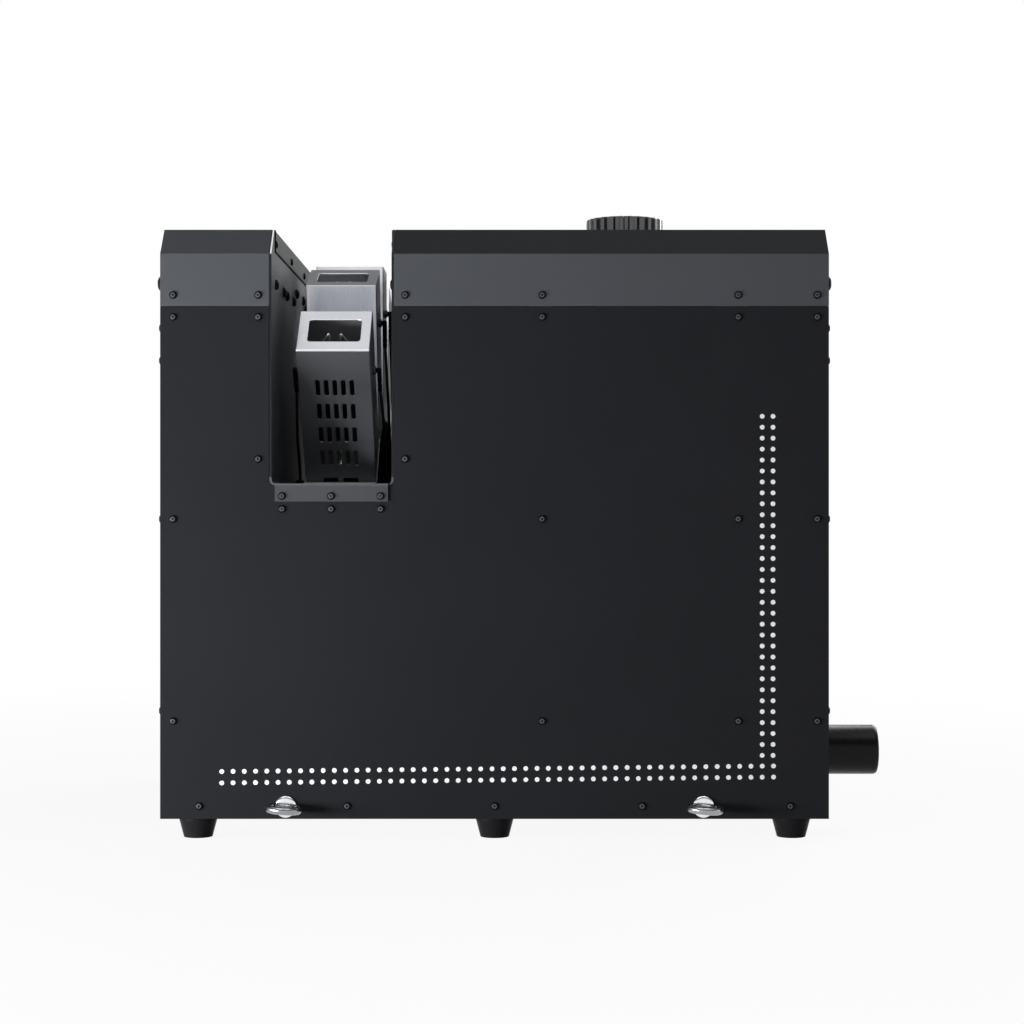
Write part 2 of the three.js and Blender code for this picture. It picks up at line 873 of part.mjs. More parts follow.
// The chimneys behind the middle one have their slots to the rear
function addChimney(index, solid) {
  const tilt = fanTilt(index);
  const matrix = fanFrame(tilt);
  if (tilt < 0) {
    matrix.multiply(new THREE.Matrix4().makeRotationZ(Math.PI));
  }
  addPiece(`chimney_${index + 1}`, solid, 'steel', matrix);
}

// One electrode: bent wire, ceramic insulator, angled boot, and the lead down to its grommet
function addElectrode(index, side) {
  const tilt = fanTilt(index);
  const matrix = fanFrame(tilt);
  const half = chimneyWidth / 2;
  const level = fanReach - electrodeDrop;
  const inner = half - chimneyWall - insulatorInside;
  const washer = half + fit;
  const bootStart = washer + washerThickness;
  const leadX = half + leadOffset;
  const sideOutline = [
    [0, inner],
    [insulatorRadius, inner],
    [insulatorRadius, washer],
    [washerRadius, washer],
    [washerRadius, bootStart],
    [bootRadius, bootStart],
    [bootRadius, washer + bootLength],
    [0, washer + bootLength],
  ].map(([radius, along]) => [radius, side * along]);
  const place = matrix.clone().multiply(new THREE.Matrix4().makeTranslation(0, 0, level));
  const body = turned('x', sideOutline, coarse, place);
  const sleevePlace = matrix.clone().multiply(new THREE.Matrix4().makeTranslation(side * leadX, 0, level));
  const sleeve = bar('z', sleeveRadius, sleeveTop - sleeveLength, sleeveTop, coarse, sleevePlace);

  const local = (x, z) => new THREE.Vector3(side * x, 0, z).applyMatrix4(matrix);
  const bendReach = (slotBase + leadBend - hub) / Math.cos(tilt);
  const bendStart = local(leadX, bendReach);
  const floorY = -(slotBase - hub) * Math.tan(tilt);
  const endY = (bendStart.y + floorY) / 2;
  const endX = slotCentre + side * leadX;
  const lead = new THREE.CatmullRomCurve3([
    local(leadX, level + sleeveTop - sleeveLength + leadRadius),
    local(leadX, bendReach + leadBend),
    bendStart,
    new THREE.Vector3(endX, endY, slotBase + fit + grommetHeight + leadRadius),
    new THREE.Vector3(endX, endY, slotBase + fit + leadRadius / 2),
  ]);
  const leadTube = sweep(lead, leadRadius, thin, thin);
  const grommetPlace = new THREE.Matrix4().makeTranslation(endX, endY, slotBase + fit);
  const grommet = bar('z', grommetRadius, 0, grommetHeight, coarse, grommetPlace);

  const start = local(inner + insulatorInside / 2, level);
  const peak = local(wirePeakGap / 2, fanReach - wirePeakDrop);
  const tip = local(sparkGap / 2, fanReach - wireTipDrop);
  const before = peak.clone().lerp(start, wireBendLength / peak.distanceTo(start));
  const after = peak.clone().lerp(tip, wireBendLength / peak.distanceTo(tip));
  const wire = new THREE.CurvePath();
  wire.add(new THREE.LineCurve3(start, before));
  wire.add(new THREE.QuadraticBezierCurve3(before, peak, after));
  wire.add(new THREE.LineCurve3(after, tip));
  const wireRod = sweep(wire, wireRadius, thin, coarse);
  const sideName = side < 0 ? 'left' : 'right';
  const whole = join(body, sleeve, leadTube, grommet, wireRod);
  addPiece(`electrode_${index + 1}_${sideName}`, whole, 'ceramic');
}

// Burner carrier: a folded arch of five facets on two feet
function addBurnerCarrier() {
  const corners = (facet) => {
    const points = [];
    for (let i = 0; i <= fanCount; i += 1) {
      const angle = (fanCount / 2 - i) * fanStep;
      const reach = facet / Math.cos(fanStep / 2);
      points.push(new THREE.Vector2(-reach * Math.sin(angle), hub + reach * Math.cos(angle)));
    }
    return points;
  };
  const outer = corners(carrierTop);
  const inner = corners(carrierTop - sheet);
  const floor = slotBase + fit;
  const edge = -outer[0].x + carrierFoot;
  const insideFoot = -inner[0].x;
  const outline = [
    new THREE.Vector2(-edge, floor),
    new THREE.Vector2(-edge, floor + sheet),
    ...outer,
    new THREE.Vector2(edge, floor + sheet),
    new THREE.Vector2(edge, floor),
    new THREE.Vector2(insideFoot, floor),
    ...inner.slice(1, -1).reverse(),
    new THREE.Vector2(-insideFoot, floor),
  ];
  const half = carrierWidth / 2;
  const arch = prism('x', outline, slotCentre - half, slotCentre + half);
  const holes = [];
  for (let index = 0; index < fanCount; index += 1) {
    const matrix = fanFrame(fanTilt(index));
    const radius = jetPipeRadius + jetPipeClearance;
    holes.push(bar('z', radius, carrierTop - sheet - overrun, carrierTop + overrun, medium, matrix));
  }
  addPiece('burner_carrier', cut(arch, ...holes), 'steel');
}

// One burner jet with its feed pipe down to the valve block
function addBurnerJet(index) {
  const seat = carrierTop + fit;
  const bodyTop = seat + jetFlangeThickness + jetBodyHeight;
  const tip = bodyTop + jetTipHeight;
  const foot = valveRadius + fit;
  const outline = [
    [0, foot],
    [jetNutRadius, foot],
    [jetNutRadius, foot + jetNutHeight],
    [jetPipeRadius, foot + jetNutHeight],
    [jetPipeRadius, seat],
    [jetFlangeRadius, seat],
    [jetFlangeRadius, seat + jetFlangeThickness],
    [jetBodyRadius, seat + jetFlangeThickness],
    [jetBodyRadius, bodyTop],
    [jetTipRadius, tip],
    [jetBoreRadius, tip],
    [jetBoreRadius, tip - jetBoreDepth],
    [0, tip - jetBoreDepth],
  ];
  addPiece(`burner_jet_${index + 1}`, turned('z', outline, medium), 'brass', fanFrame(fanTilt(index)));
}

// Valve block: one port facet for each jet, a row of solenoid coils, and its pedestal
function addValveBlock() {
  const reach = valveRadius / Math.cos(fanStep / 2);
  const outline = [];
  for (let i = 0; i <= fanCount; i += 1) {
    const angle = (fanCount / 2 - i) * fanStep;
    outline.push(new THREE.Vector2(-reach * Math.sin(angle), hub + reach * Math.cos(angle)));
  }
  const wide = -outline[0].x;
  outline.push(new THREE.Vector2(wide, hub - valveDrop));
  outline.push(new THREE.Vector2(-wide, hub - valveDrop));
  const x0 = slotCentre - valveHalfThickness;
  const x1 = slotCentre + valveHalfThickness;
  const body = prism('x', outline, x0, x1);
  const coils = [];
  for (let i = 0; i < coilCount; i += 1) {
    const y = (i - (coilCount - 1) / 2) * coilPitch;
    const place = new THREE.Matrix4().makeTranslation(0, y, hub - coilDrop);
    coils.push(bar('x', coilRadius, x0 - coilLength, x0 + overrun, medium, place));
  }
  const column = block(
    slotCentre - pedestalWidth / 2,
    slotCentre + pedestalWidth / 2,
    -pedestalDepth / 2,
    pedestalDepth / 2,
    trayTop,
    hub - valveDrop + overrun,
  );
  const plate = block(
    slotCentre - pedestalWidth / 2 - pedestalFoot,
    slotCentre + pedestalWidth / 2 + pedestalFoot,
    -pedestalDepth / 2,
    pedestalDepth / 2,
    trayTop,
    trayTop + pedestalPlate,
  );
  addPiece('valve_block', join(body, column, plate, ...coils), 'brass');
}

// Fuel tank with its filler neck and outlet spigot
function addFuelTank() {
  const x0 = bayMiddle - tankWidth / 2;
  const x1 = bayMiddle + tankWidth / 2;
  const y0 = front + tankSetback;
  const y1 = y0 + tankDepth;
  const z0 = bottom + shelfHeight + fit;
  const z1 = z0 + tankHeight;
  const shell = prism('z', roundedRectangle(x0, x1, y0, y1, tankCorner), z0, z1);
  const hollowOutline = roundedRectangle(
    x0 + tankWall,
    x1 - tankWall,
    y0 + tankWall,
    y1 - tankWall,
    tankCorner - tankWall,
  );
  const hollow = prism('z', hollowOutline, z0 + tankWall, z1 - tankWall);
  const neckPlace = new THREE.Matrix4().makeTranslation(capX, capY, 0);
  const rim = top + neckHeight;
  const neck = bar('z', neckRadius, z1 - tankWall / 2, rim, smooth, neckPlace);
  const bore = bar('z', neckRadius - neckWall, z1 - tankWall - overrun, rim + overrun, smooth, neckPlace);
  const spigotPlace = new THREE.Matrix4().makeTranslation(bayMiddle + pumpPortOffset, pumpY, 0);
  const spigotFoot = trayTop + pumpPlate + pumpHeadHeight + fit;
  const spigot = bar('z', spigotRadius, spigotFoot, z0 + tankWall / 2, medium, spigotPlace);
  addPiece('fuel_tank', cut(join(shell, neck, spigot), hollow, bore), 'tank');
}

// Shelf that carries the tank between the partitions
function addTankShelf() {
  const x0 = webLeft + sheet + fit;
  const x1 = webRight - sheet - fit;
  const y0 = front + tankSetback;
  const y1 = y0 + tankDepth;
  const z1 = bottom + shelfHeight;
  const body = block(x0, x1, y0, y1, z1 - shelfLip, z1);
  const under = block(
    x0 + sheet, x1 - sheet,
    y0 - overrun, y1 + overrun,
    z1 - shelfLip - overrun, z1 - sheet,
  );
  const place = new THREE.Matrix4().makeTranslation(bayMiddle + pumpPortOffset, pumpY, 0);
  const hole = bar('z', spigotRadius + spigotClearance, z1 - sheet - overrun, z1 + overrun, medium, place);
  addPiece('tank_shelf', cut(body, under, hole), 'greyPaint');
}

// Filler cap with flutes round its edge, and the gasket between it and the neck
function addFillerCap() {
  const place = new THREE.Matrix4().makeTranslation(capX, capY, 0);
  const low = top + capLift;
  const high = top + capHeight;
  const points = [];
  const fluteTurn = 2 * Math.PI / capFluteCount;
  for (let i = 0; i < capFluteCount; i += 1) {
    [[0, -1], [1, -1], [1, 0], [0, 0]].forEach(([proud, edge], corner) => {
      const angle = (i + (corner + 1) / 4) * fluteTurn;
      const radius = capRadius - (proud ? 0 : capFluteDepth);
      points.push(new THREE.Vector2(capX + radius * Math.cos(angle), capY + radius * Math.sin(angle)));
    });
  }
  const fluted = prism('z', points, low, high - capTopThickness);
  const crown = turned('z', [
    [0, high - capTopThickness - overrun],
    [capRadius - capFluteDepth, high - capTopThickness - overrun],
    [capRadius, high - capTopThickness],
    [capRadius, high - capTopThickness / 2],
    [capRadius - capFluteDepth, high],
    [0, high],
  ], smooth, place);
  const gasketTop = top + neckHeight + fit + gasketThickness;
  const bore = bar('z', capRadius - capFluteDepth - capWall, low - overrun, gasketTop + fit, smooth, place);
  addPiece('fuel_cap', cut(join(fluted, crown), bore), 'blackPlastic');

  const gasketLow = top + neckHeight + fit;
  const gasket = turned('z', [
    [neckRadius - gasketWidth, gasketLow],
    [neckRadius, gasketLow],
    [neckRadius, gasketTop],
    [neckRadius - gasketWidth, gasketTop],
    [neckRadius - gasketWidth, gasketLow],
  ], smooth, place);
  addPiece('cap_gasket', gasket, 'rubber');
}

// Pump head, motor and base plate in one unit under the tank shelf
function addPumpUnit() {
  const low = trayTop + pumpPlate;
  const headFront = pumpY - pumpHeadDepth / 2;
  const headRear = pumpY + pumpHeadDepth / 2;
  const motorEnd = headRear + motorLength;
  const motorPlace = new THREE.Matrix4().makeTranslation(bayMiddle, 0, low + motorHeight);
  const plate = block(
    bayMiddle - pumpPlateWidth / 2,
    bayMiddle + pumpPlateWidth / 2,
    headFront - pumpPlateMargin,
    motorEnd + pumpPlateMargin,
    trayTop,
    low,
  );
  const head = block(
    bayMiddle - pumpHeadWidth / 2,
    bayMiddle + pumpHeadWidth / 2,
    headFront,
    headRear,
    low - pumpPlate / 2,
    low + pumpHeadHeight,
  );
  const motor = turned('y', [
    [0, headRear - overrun],
    [motorRadius, headRear - overrun],
    [motorRadius, motorEnd - motorCapLength],
    [motorCapRadius, motorEnd],
    [0, motorEnd],
  ], fine, motorPlace);
  const cradle = block(
    bayMiddle - cradleWidth / 2,
    bayMiddle + cradleWidth / 2,
    motorEnd - motorCapLength - 2 * cradleThickness,
    motorEnd - motorCapLength - cradleThickness,
    low - pumpPlate / 2,
    low + motorHeight,
  );
  addPiece('pump_unit', join(plate, head, motor, cradle), 'blackPaint');
}

// Rigid pipe from the pump head over to the valve block
function addPressurePipe() {
  const x = bayMiddle - pumpPortOffset;
  const start = trayTop + pumpPlate + pumpHeadHeight + fit;
  const level = bottom + pressurePipeHeight;
  const end = slotCentre + valveHalfThickness + fit;
  const path = new THREE.CurvePath();
  const corner = new THREE.Vector3(x, pumpY, level);
  const before = new THREE.Vector3(x, pumpY, level - pressurePipeBend);
  const after = new THREE.Vector3(x - pressurePipeBend, pumpY, level);
  path.add(new THREE.LineCurve3(new THREE.Vector3(x, pumpY, start), before));
  path.add(new THREE.QuadraticBezierCurve3(before, corner, after));
  path.add(new THREE.LineCurve3(after, new THREE.Vector3(end, pumpY, level)));
  addPiece('pressure_pipe', sweep(path, pressurePipeRadius, coarse, medium), 'steel');
}

// Stub pipe through the right side, opening out to a funnel on the purge fan
function addSidePipe() {
  const place = new THREE.Matrix4().makeTranslation(0, pipeY, pipeZ);
  const start = webRight + fit + fanFrameThickness + fit;
  const tip = right + pipeReach;
  const inner = pipeRadius - pipeWall;
  const outline = [
    [funnelRadius - pipeWall, start],
    [funnelRadius, start],
    [funnelRadius, start + funnelRim],
    [pipeRadius, start + funnelLength],
    [pipeRadius, tip - pipeRim],
    [pipeRadius - pipeWall / 3, tip - pipeRim / 3],
    [inner + pipeWall / 3, tip],
    [inner, tip],
    [inner, start + funnelLength],
    [funnelRadius - pipeWall, start + funnelRim],
    [funnelRadius - pipeWall, start],
  ];
  addPiece('side_pipe', turned('x', outline, smooth, place), 'glossPlastic');
}

// Purge fan: square frame with its motor on three struts, and the bladed rotor
function addPurgeFan() {
  const x0 = webRight + fit;
  const x1 = x0 + fanFrameThickness;
  const half = fanFrameSize / 2;
  const place = new THREE.Matrix4().makeTranslation(0, pipeY, pipeZ);
  const outline = roundedRectangle(pipeY - half, pipeY + half, pipeZ - half, pipeZ + half, fanFrameCorner);
  const shell = prism('x', outline, x0, x1, [circlePoints(pipeY, pipeZ, fanBore, smooth)]);
  const motor = bar('x', fanHubRadius, x1 - fanMotorThickness, x1, fine, place);
  const struts = [];
  for (let i = 0; i < fanStrutCount; i += 1) {
    const turn = new THREE.Matrix4().makeRotationX(i * 2 * Math.PI / fanStrutCount);
    const strut = place.clone().multiply(turn);
    struts.push(block(
      x1 - fanMotorThickness / 2,
      x1,
      -fanStrutWidth / 2,
      fanStrutWidth / 2,
      fanHubRadius - overrun,
      fanBore + overrun,
      strut,
    ));
  }
  addPiece('fan_frame', join(shell, motor, ...struts), 'blackPlastic');

  const rotorEnd = x1 - fanMotorThickness - fanRotorGap;
  const rotorStart = rotorEnd - fanRotorLength;
  const hubBody = turned('x', [
    [0, rotorStart],
    [fanHubRadius - fanBladeThickness, rotorStart],
    [fanHubRadius, rotorStart + fanBladeThickness],
    [fanHubRadius, rotorEnd],
    [0, rotorEnd],
  ], fine, place);
  const blades = [];
  const bladeMiddle = (rotorStart + rotorEnd) / 2;
  for (let i = 0; i < fanBladeCount; i += 1) {
    const turn = new THREE.Matrix4().makeRotationX(i * 2 * Math.PI / fanBladeCount);
    const slide = new THREE.Matrix4().makeTranslation(bladeMiddle, 0, 0);
    const pitch = new THREE.Matrix4().makeRotationZ(fanBladePitch);
    const blade = place.clone().multiply(turn).multiply(slide).multiply(pitch);
    blades.push(block(
      -fanBladeChord / 2,
      fanBladeChord / 2,
      -fanBladeThickness / 2,
      fanBladeThickness / 2,
      fanHubRadius / 2,
      fanBore - fanBladeClearance - fanBladeThickness,
      blade,
    ));
  }
  addPiece('fan_rotor', join(hubBody, ...blades), 'blackPlastic');
}

// A box with its upper long edges taken off
function chamferedCase(x0, x1, y0, y1, z0, z1, chamfer) {
  const outline = [
    [x0, z0],
    [x1, z0],
    [x1, z1 - chamfer],
    [x1 - chamfer, z1],
    [x0 + chamfer, z1],
    [x0, z1 - chamfer],
  ].map(([x, z]) => new THREE.Vector2(x, z));
  return prism('y', outline, y0, y1);
}

function addPowerSupply() {
  const middle = (left + slotLeft) / 2;
  const x0 = middle - supplyWidth / 2;
  const x1 = middle + supplyWidth / 2;
  const y0 = -supplyDepth / 2;
  const y1 = supplyDepth / 2;
  const body = chamferedCase(x0, x1, y0, y1, trayTop, trayTop + supplyHeight, supplyChamfer);
  addPiece('power_supply', body, 'steel');
}

// Ignition unit with one high-voltage tower for each chimney
function addIgnitionUnit() {
  const x1 = webLeft - ignitionSetback;
  const x0 = x1 - ignitionWidth;
  const y0 = -ignitionDepth / 2;
  const z1 = trayTop + ignitionHeight;
  const body = chamferedCase(x0, x1, y0, y0 + ignitionDepth, trayTop, z1, ignitionChamfer);
  const towers = [];
  for (let i = 0; i < fanCount; i += 1) {
    const y = (i - (fanCount - 1) / 2) * ignitionTowerPitch;
    const place = new THREE.Matrix4().makeTranslation((x0 + x1) / 2, y, 0);
    towers.push(bar('z', ignitionTowerRadius, z1 - overrun, z1 + ignitionTowerHeight, medium, place));
  }
  addPiece('ignition_unit', join(body, ...towers), 'blackPlastic');
}

function buttonPlaces() {
  const places = [];
  for (let i = 0; i < buttonCount; i += 1) {
    places.push(controlX + (i - (buttonCount - 1) / 2) * buttonPitch);
  }
  return places;
}

// Control plate with its stop button collar, two data sockets and the power inlet
function addControlPlate() {
  const y0 = rear + fit;
  const y1 = y0 + sheet;
  const outline = roundedRectangle(
    controlX - controlWidth / 2,
    controlX + controlWidth / 2,
    controlBase,
    controlTop,
    controlCorner,
  );
  const rockerX = controlX - socketOffset;
  const rockerRoom = rockerClearance;
  const stopHole = circlePoints(controlX, stopZ, stopStemRadius + stopClearance, medium);
  const sockets = [
    [controlX - socketOffset, socketZ],
    [controlX + socketOffset, socketZ],
    [controlX + socketOffset, powerZ],
  ];
  const holes = [
    rectangle(
      controlX - displayWidth / 2 - fit,
      controlX + displayWidth / 2 + fit,
      displayZ - displayHeight / 2 - fit,
      displayZ + displayHeight / 2 + fit,
    ),
    rectangle(
      rockerX - rockerWidth / 2 - rockerRoom,
      rockerX + rockerWidth / 2 + rockerRoom,
      powerZ - rockerHeight / 2 - rockerRoom,
      powerZ + rockerHeight / 2 + rockerRoom,
    ),
    stopHole,
    ...buttonPlaces().map((x) => (
      circlePoints(x, buttonZ, buttonRadius + buttonClearance, medium)
    )),
    ...sockets.map(([x, z]) => circlePoints(x, z, socketBoreRadius, medium)),
  ];
  const plate = prism('y', outline, y0, y1, holes);
  const collar = prism(
    'y',
    circlePoints(controlX, stopZ, stopCollarRadius, smooth),
    y1 - sheet / 2,
    y1 + stopCollarThickness,
    [stopHole],
  );
  const cups = sockets.map(([x, z]) => {
    const place = new THREE.Matrix4().makeTranslation(x, 0, z);
    const cup = turned('y', [
      [0, y0 - socketInside],
      [socketRadius, y0 - socketInside],
      [socketRadius, y0 + sheet / 2],
      [socketBoreRadius, y0 + sheet / 2],
      [socketBoreRadius, y0 - socketInside + socketFloor],
      [0, y0 - socketInside + socketFloor],
    ], medium, place);
    const flange = prism('y', rectangle(
      x - socketFlangeWidth / 2,
      x + socketFlangeWidth / 2,
      z - socketFlangeHeight / 2,
      z + socketFlangeHeight / 2,
    ), y1 - sheet / 2, y1 + socketFlangeThickness, [circlePoints(x, z, socketBoreRadius, medium)]);
    return join(cup, flange);
  });
  addPiece('control_plate', join(plate, collar, ...cups), 'blackPaint');
}

function addDisplayWindow() {
  const y0 = rear + fit;
  const glass = block(
    controlX - displayWidth / 2,
    controlX + displayWidth / 2,
    y0 - fit - displayFlangeThickness / 2,
    y0 + sheet,
    displayZ - displayHeight / 2,
    displayZ + displayHeight / 2,
  );
  const flange = block(
    controlX - displayWidth / 2 - displayFlange,
    controlX + displayWidth / 2 + displayFlange,
    y0 - fit - displayFlangeThickness,
    y0 - fit,
    displayZ - displayHeight / 2 - displayFlange,
    displayZ + displayHeight / 2 + displayFlange,
  );
  addPiece('display_window', join(glass, flange), 'glass');
}

// Menu buttons held behind the plate by their flanges
function addMenuButtons() {
  const y0 = rear + fit;
  const inside = y0 - fit;
  const outline = [
    [0, inside - buttonFlangeThickness],
    [buttonFlangeRadius, inside - buttonFlangeThickness],
    [buttonFlangeRadius, inside],
    [buttonRadius, inside],
    [buttonRadius, y0 + sheet + buttonProud - buttonFlangeThickness / 2],
    [buttonRadius - buttonFlangeThickness / 2, y0 + sheet + buttonProud],
    [0, y0 + sheet + buttonProud],
  ];
  buttonPlaces().forEach((x, index) => {
    const place = new THREE.Matrix4().makeTranslation(x, 0, buttonZ);
    addPiece(`menu_button_${index + 1}`, turned('y', outline, medium, place), 'blackPlastic');
  });
}

function addEmergencyStop() {
  const collarTop = rear + fit + sheet + stopCollarThickness;
  const headLow = collarTop + stopTravel + stopRelease;
  const headHigh = headLow + stopHeadThickness;
  const outline = [
    [0, headLow - stopStemLength],
    [stopStemRadius, headLow - stopStemLength],
    [stopStemRadius, headLow],
    [stopHeadRadius, headLow],
    ...stopDomeShares.map(([out, drop]) => [stopHeadRadius * out, headHigh - stopHeadThickness * drop]),
    [0, headHigh],
  ];
  const place = new THREE.Matrix4().makeTranslation(controlX, 0, stopZ);
  addPiece('emergency_stop', turned('y', outline, fine, place), 'red');
}

// Power rocker: a shallow V face, tipped to off about its middle
function addPowerRocker() {
  const half = rockerHeight / 2;
  const outline = [
    [-rockerDepth, -half / 2],
    [-rockerProud / 2, -half],
    [rockerProud, -half],
    [rockerProud / 3, 0],
    [rockerProud, half],
    [-rockerProud / 2, half],
    [-rockerDepth, half / 2],
  ].map(([y, z]) => new THREE.Vector2(y + rockerPivotDepth, z));
  const rocker = prism('x', outline, -rockerWidth / 2, rockerWidth / 2);
  const pivot = new THREE.Matrix4().makeTranslation(
    controlX - socketOffset,
    rear + fit + sheet - rockerPivotDepth,
    powerZ,
  );
  const tilt = new THREE.Matrix4().makeRotationX(rockerTilt);
  addPiece('power_rocker', rocker, 'blackPlastic', pivot.multiply(tilt));
}

// Control board on four standoffs, with a switch behind each menu button
function addControlBoard() {
  const wall = rear;
  const y1 = wall - boardGap;
  const y0 = y1 - boardThickness;
  const board = block(
    controlX - boardWidth / 2,
    controlX + boardWidth / 2,
    y0,
    y1,
    boardZ - boardHeight / 2,
    boardZ + boardHeight / 2,
  );
  const standoffs = [];
  [-1, 1].forEach((u) => {
    [-1, 1].forEach((v) => {
      const x = controlX + u * (boardWidth / 2 - 2 * standoffRadius);
      const level = boardZ + v * (boardHeight / 2 - 2 * standoffRadius);
      const place = new THREE.Matrix4().makeTranslation(x, 0, level);
      standoffs.push(bar('y', standoffRadius, y0 + boardThickness / 2, wall, coarse, place));
    });
  });
  const plunger = wall - buttonFlangeThickness - buttonTravel - switchGap;
  const switches = buttonPlaces().map((x) => block(
    x - switchSize / 2,
    x + switchSize / 2,
    y1 - boardThickness / 2,
    plunger,
    buttonZ - switchSize / 2,
    buttonZ + switchSize / 2,
  ));
  addPiece('control_board', join(board, ...standoffs, ...switches), 'board');
}

// Assembly
addBaseTray();
addFrontPanel();
addRearPanel();
addSidePanel('left_side_panel', left, 1, []);
addSidePanel('right_side_panel', right, -1, [circlePoints(pipeY, pipeZ, pipeRadius + fit, smooth)]);
addLid('left_lid', left, slotLeft, -1, []);
addLid('right_lid', right, slotRight, 1, [bar(
  'z',
  neckRadius + neckClearance,
  top - sheet - overrun,
  top + overrun,
  smooth,
  new THREE.Matrix4().makeTranslation(capX, capY, 0),
)]);
addSlotLiner();
addPartition('left_partition', webLeft, 1, [
  circlePoints(pumpY, bottom + pressurePipeHeight, pressurePipeRadius + pressurePipeClearance, medium),
]);
addPartition('right_partition', webRight, -1, [circlePoints(pipeY, pipeZ, fanBore, smooth)]);
addFeet();
addEyeBolts();
addBurnerCarrier();
const chimney = chimneySolid();
for (let index = 0; index < fanCount; index += 1) {
  addChimney(index, chimney);
  addElectrode(index, -1);
  addElectrode(index, 1);
  addBurnerJet(index);
}
addValveBlock();
addFuelTank();
addTankShelf();
addFillerCap();
addPumpUnit();
addPressurePipe();
addSidePipe();
addPurgeFan();
addPowerSupply();
addIgnitionUnit();
addControlPlate();
addDisplayWindow();
addMenuButtons();
addEmergencyStop();
addPowerRocker();
addControlBoard();

// Centre the machine over its footprint
const bounds = new THREE.Box3().setFromObject(machine);
machine.position.set(-(bounds.min.x + bounds.max.x) / 2, -(bounds.min.y + bounds.max.y) / 2, 0);
machine.updateMatrixWorld(true);

export default machine;
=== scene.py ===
# Stage flame machine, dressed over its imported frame. Front at -Y, +X to the viewer's right.
# Shapes are written in millimetres in the row frame, and become metres when a piece is made.

import math

import bmesh
import bpy
from mathutils import Matrix, Vector


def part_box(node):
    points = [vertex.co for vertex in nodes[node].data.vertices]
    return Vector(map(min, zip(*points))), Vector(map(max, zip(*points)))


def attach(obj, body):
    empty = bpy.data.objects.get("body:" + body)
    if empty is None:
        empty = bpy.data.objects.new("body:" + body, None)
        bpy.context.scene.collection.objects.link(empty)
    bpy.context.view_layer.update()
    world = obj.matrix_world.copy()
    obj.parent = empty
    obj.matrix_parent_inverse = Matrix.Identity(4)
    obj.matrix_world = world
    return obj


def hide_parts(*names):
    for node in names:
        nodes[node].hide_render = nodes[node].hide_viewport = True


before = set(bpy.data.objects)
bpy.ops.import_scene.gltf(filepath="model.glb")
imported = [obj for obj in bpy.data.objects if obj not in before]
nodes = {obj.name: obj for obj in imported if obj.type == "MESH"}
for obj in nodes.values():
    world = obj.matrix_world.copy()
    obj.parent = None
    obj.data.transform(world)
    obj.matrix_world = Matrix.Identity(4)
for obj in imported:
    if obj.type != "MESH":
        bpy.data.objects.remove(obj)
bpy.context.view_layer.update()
MM = 0.001


def span(node):
    """Lowest and highest corner of a CAD node, in millimetres."""
    low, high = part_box(node)
    return Vector(low) / MM, Vector(high) / MM


def middle_of(node):
    """Middle of a CAD node's box, in millimetres."""
    low, high = span(node)
    return (low + high) / 2


panel_low, panel_high = span("front_panel")
CENTRE = (panel_low.x + panel_high.x) / 2
UNDER = panel_low.z
FRONT = panel_low.y
REAR = span("rear_panel")[1].y
LEFT = panel_low.x
RIGHT = panel_high.x
WALL_LEFT = span("left_lid")[1].x
WALL_RIGHT = span("right_lid")[0].x
SLOT = (WALL_LEFT + WALL_RIGHT) / 2
FLOOR = span("burner_carrier")[0].z
MIDDLE = (FRONT + REAR) / 2

# Fan of chimneys: the height of its axis, a chimney's foot and mouth as distances from that axis,
# a chimney's half width and half depth, and its sheet
HUB = 215.3
SEAT = 203.3
REACH = 369
HALF_WIDTH = 36.1
HALF_DEPTH = 33.15
SHEET = 0.8
COUNT = 5
STEP = math.radians(20)

# Fold between a lid's skirt and its chamfer
FOLD = 569.2

# Faces at the rear: the control plate, the flanges of its sockets and the floor of their cups
PLATE_FACE = 281.9
FLANGE_FACE = 283.9
CUP_FLOOR = 260.9

# Sockets on the control plate and its rocker, as X and Z
DATA_INLET = (-74.5, 204)
DATA_OUTLET = (-26.5, 204)
POWER_INLET = (-26.5, 270)
ROCKER = (-74.5, 270)

# Screw heads: radius, height, width of the hexagon and radius of the flat top
WALL_HEAD = (5.25, 3.3, 4, 2.7)
HEAD = (3.8, 2.2, 2.0, 1.85)
PLATE_HEAD = (2.8, 1.6, 1.6, 1.5)
FLANGE_HEAD = (2.4, 1.3, 1.4, 1.3)

# The three screws in each row under the slot, as X from the centre
STRIP_SCREWS = (-206.5, -158.9, -110.8)

# How far printing reaches into its face and stands out of it
PRINT_IN = -0.02
PRINT_OUT = 0.08


# Nodes

def new_material(name):
    material = bpy.data.materials.new(name)
    material.use_nodes = True
    return material, material.node_tree, material.node_tree.nodes["Principled BSDF"]


def coordinates(tree):
    return tree.nodes.new("ShaderNodeTexCoord").outputs["Object"]


def mapped(tree, vector, key, value):
    """The vector turned, with the key Rotation, or stretched, with the key Scale."""
    node = tree.nodes.new("ShaderNodeMapping")
    node.inputs[key].default_value = value
    tree.links.new(vector, node.inputs["Vector"])
    return node.outputs["Vector"]


def split_axes(tree, vector):
    node = tree.nodes.new("ShaderNodeSeparateXYZ")
    tree.links.new(vector, node.inputs["Vector"])
    return node.outputs


def noise(tree, vector, scale, detail=3.0, gain=0.5):
    texture = tree.nodes.new("ShaderNodeTexNoise")
    texture.inputs["Scale"].default_value = scale
    texture.inputs["Detail"].default_value = detail
    texture.inputs["Roughness"].default_value = gain
    tree.links.new(vector, texture.inputs["Vector"])
    return texture.outputs["Fac"]


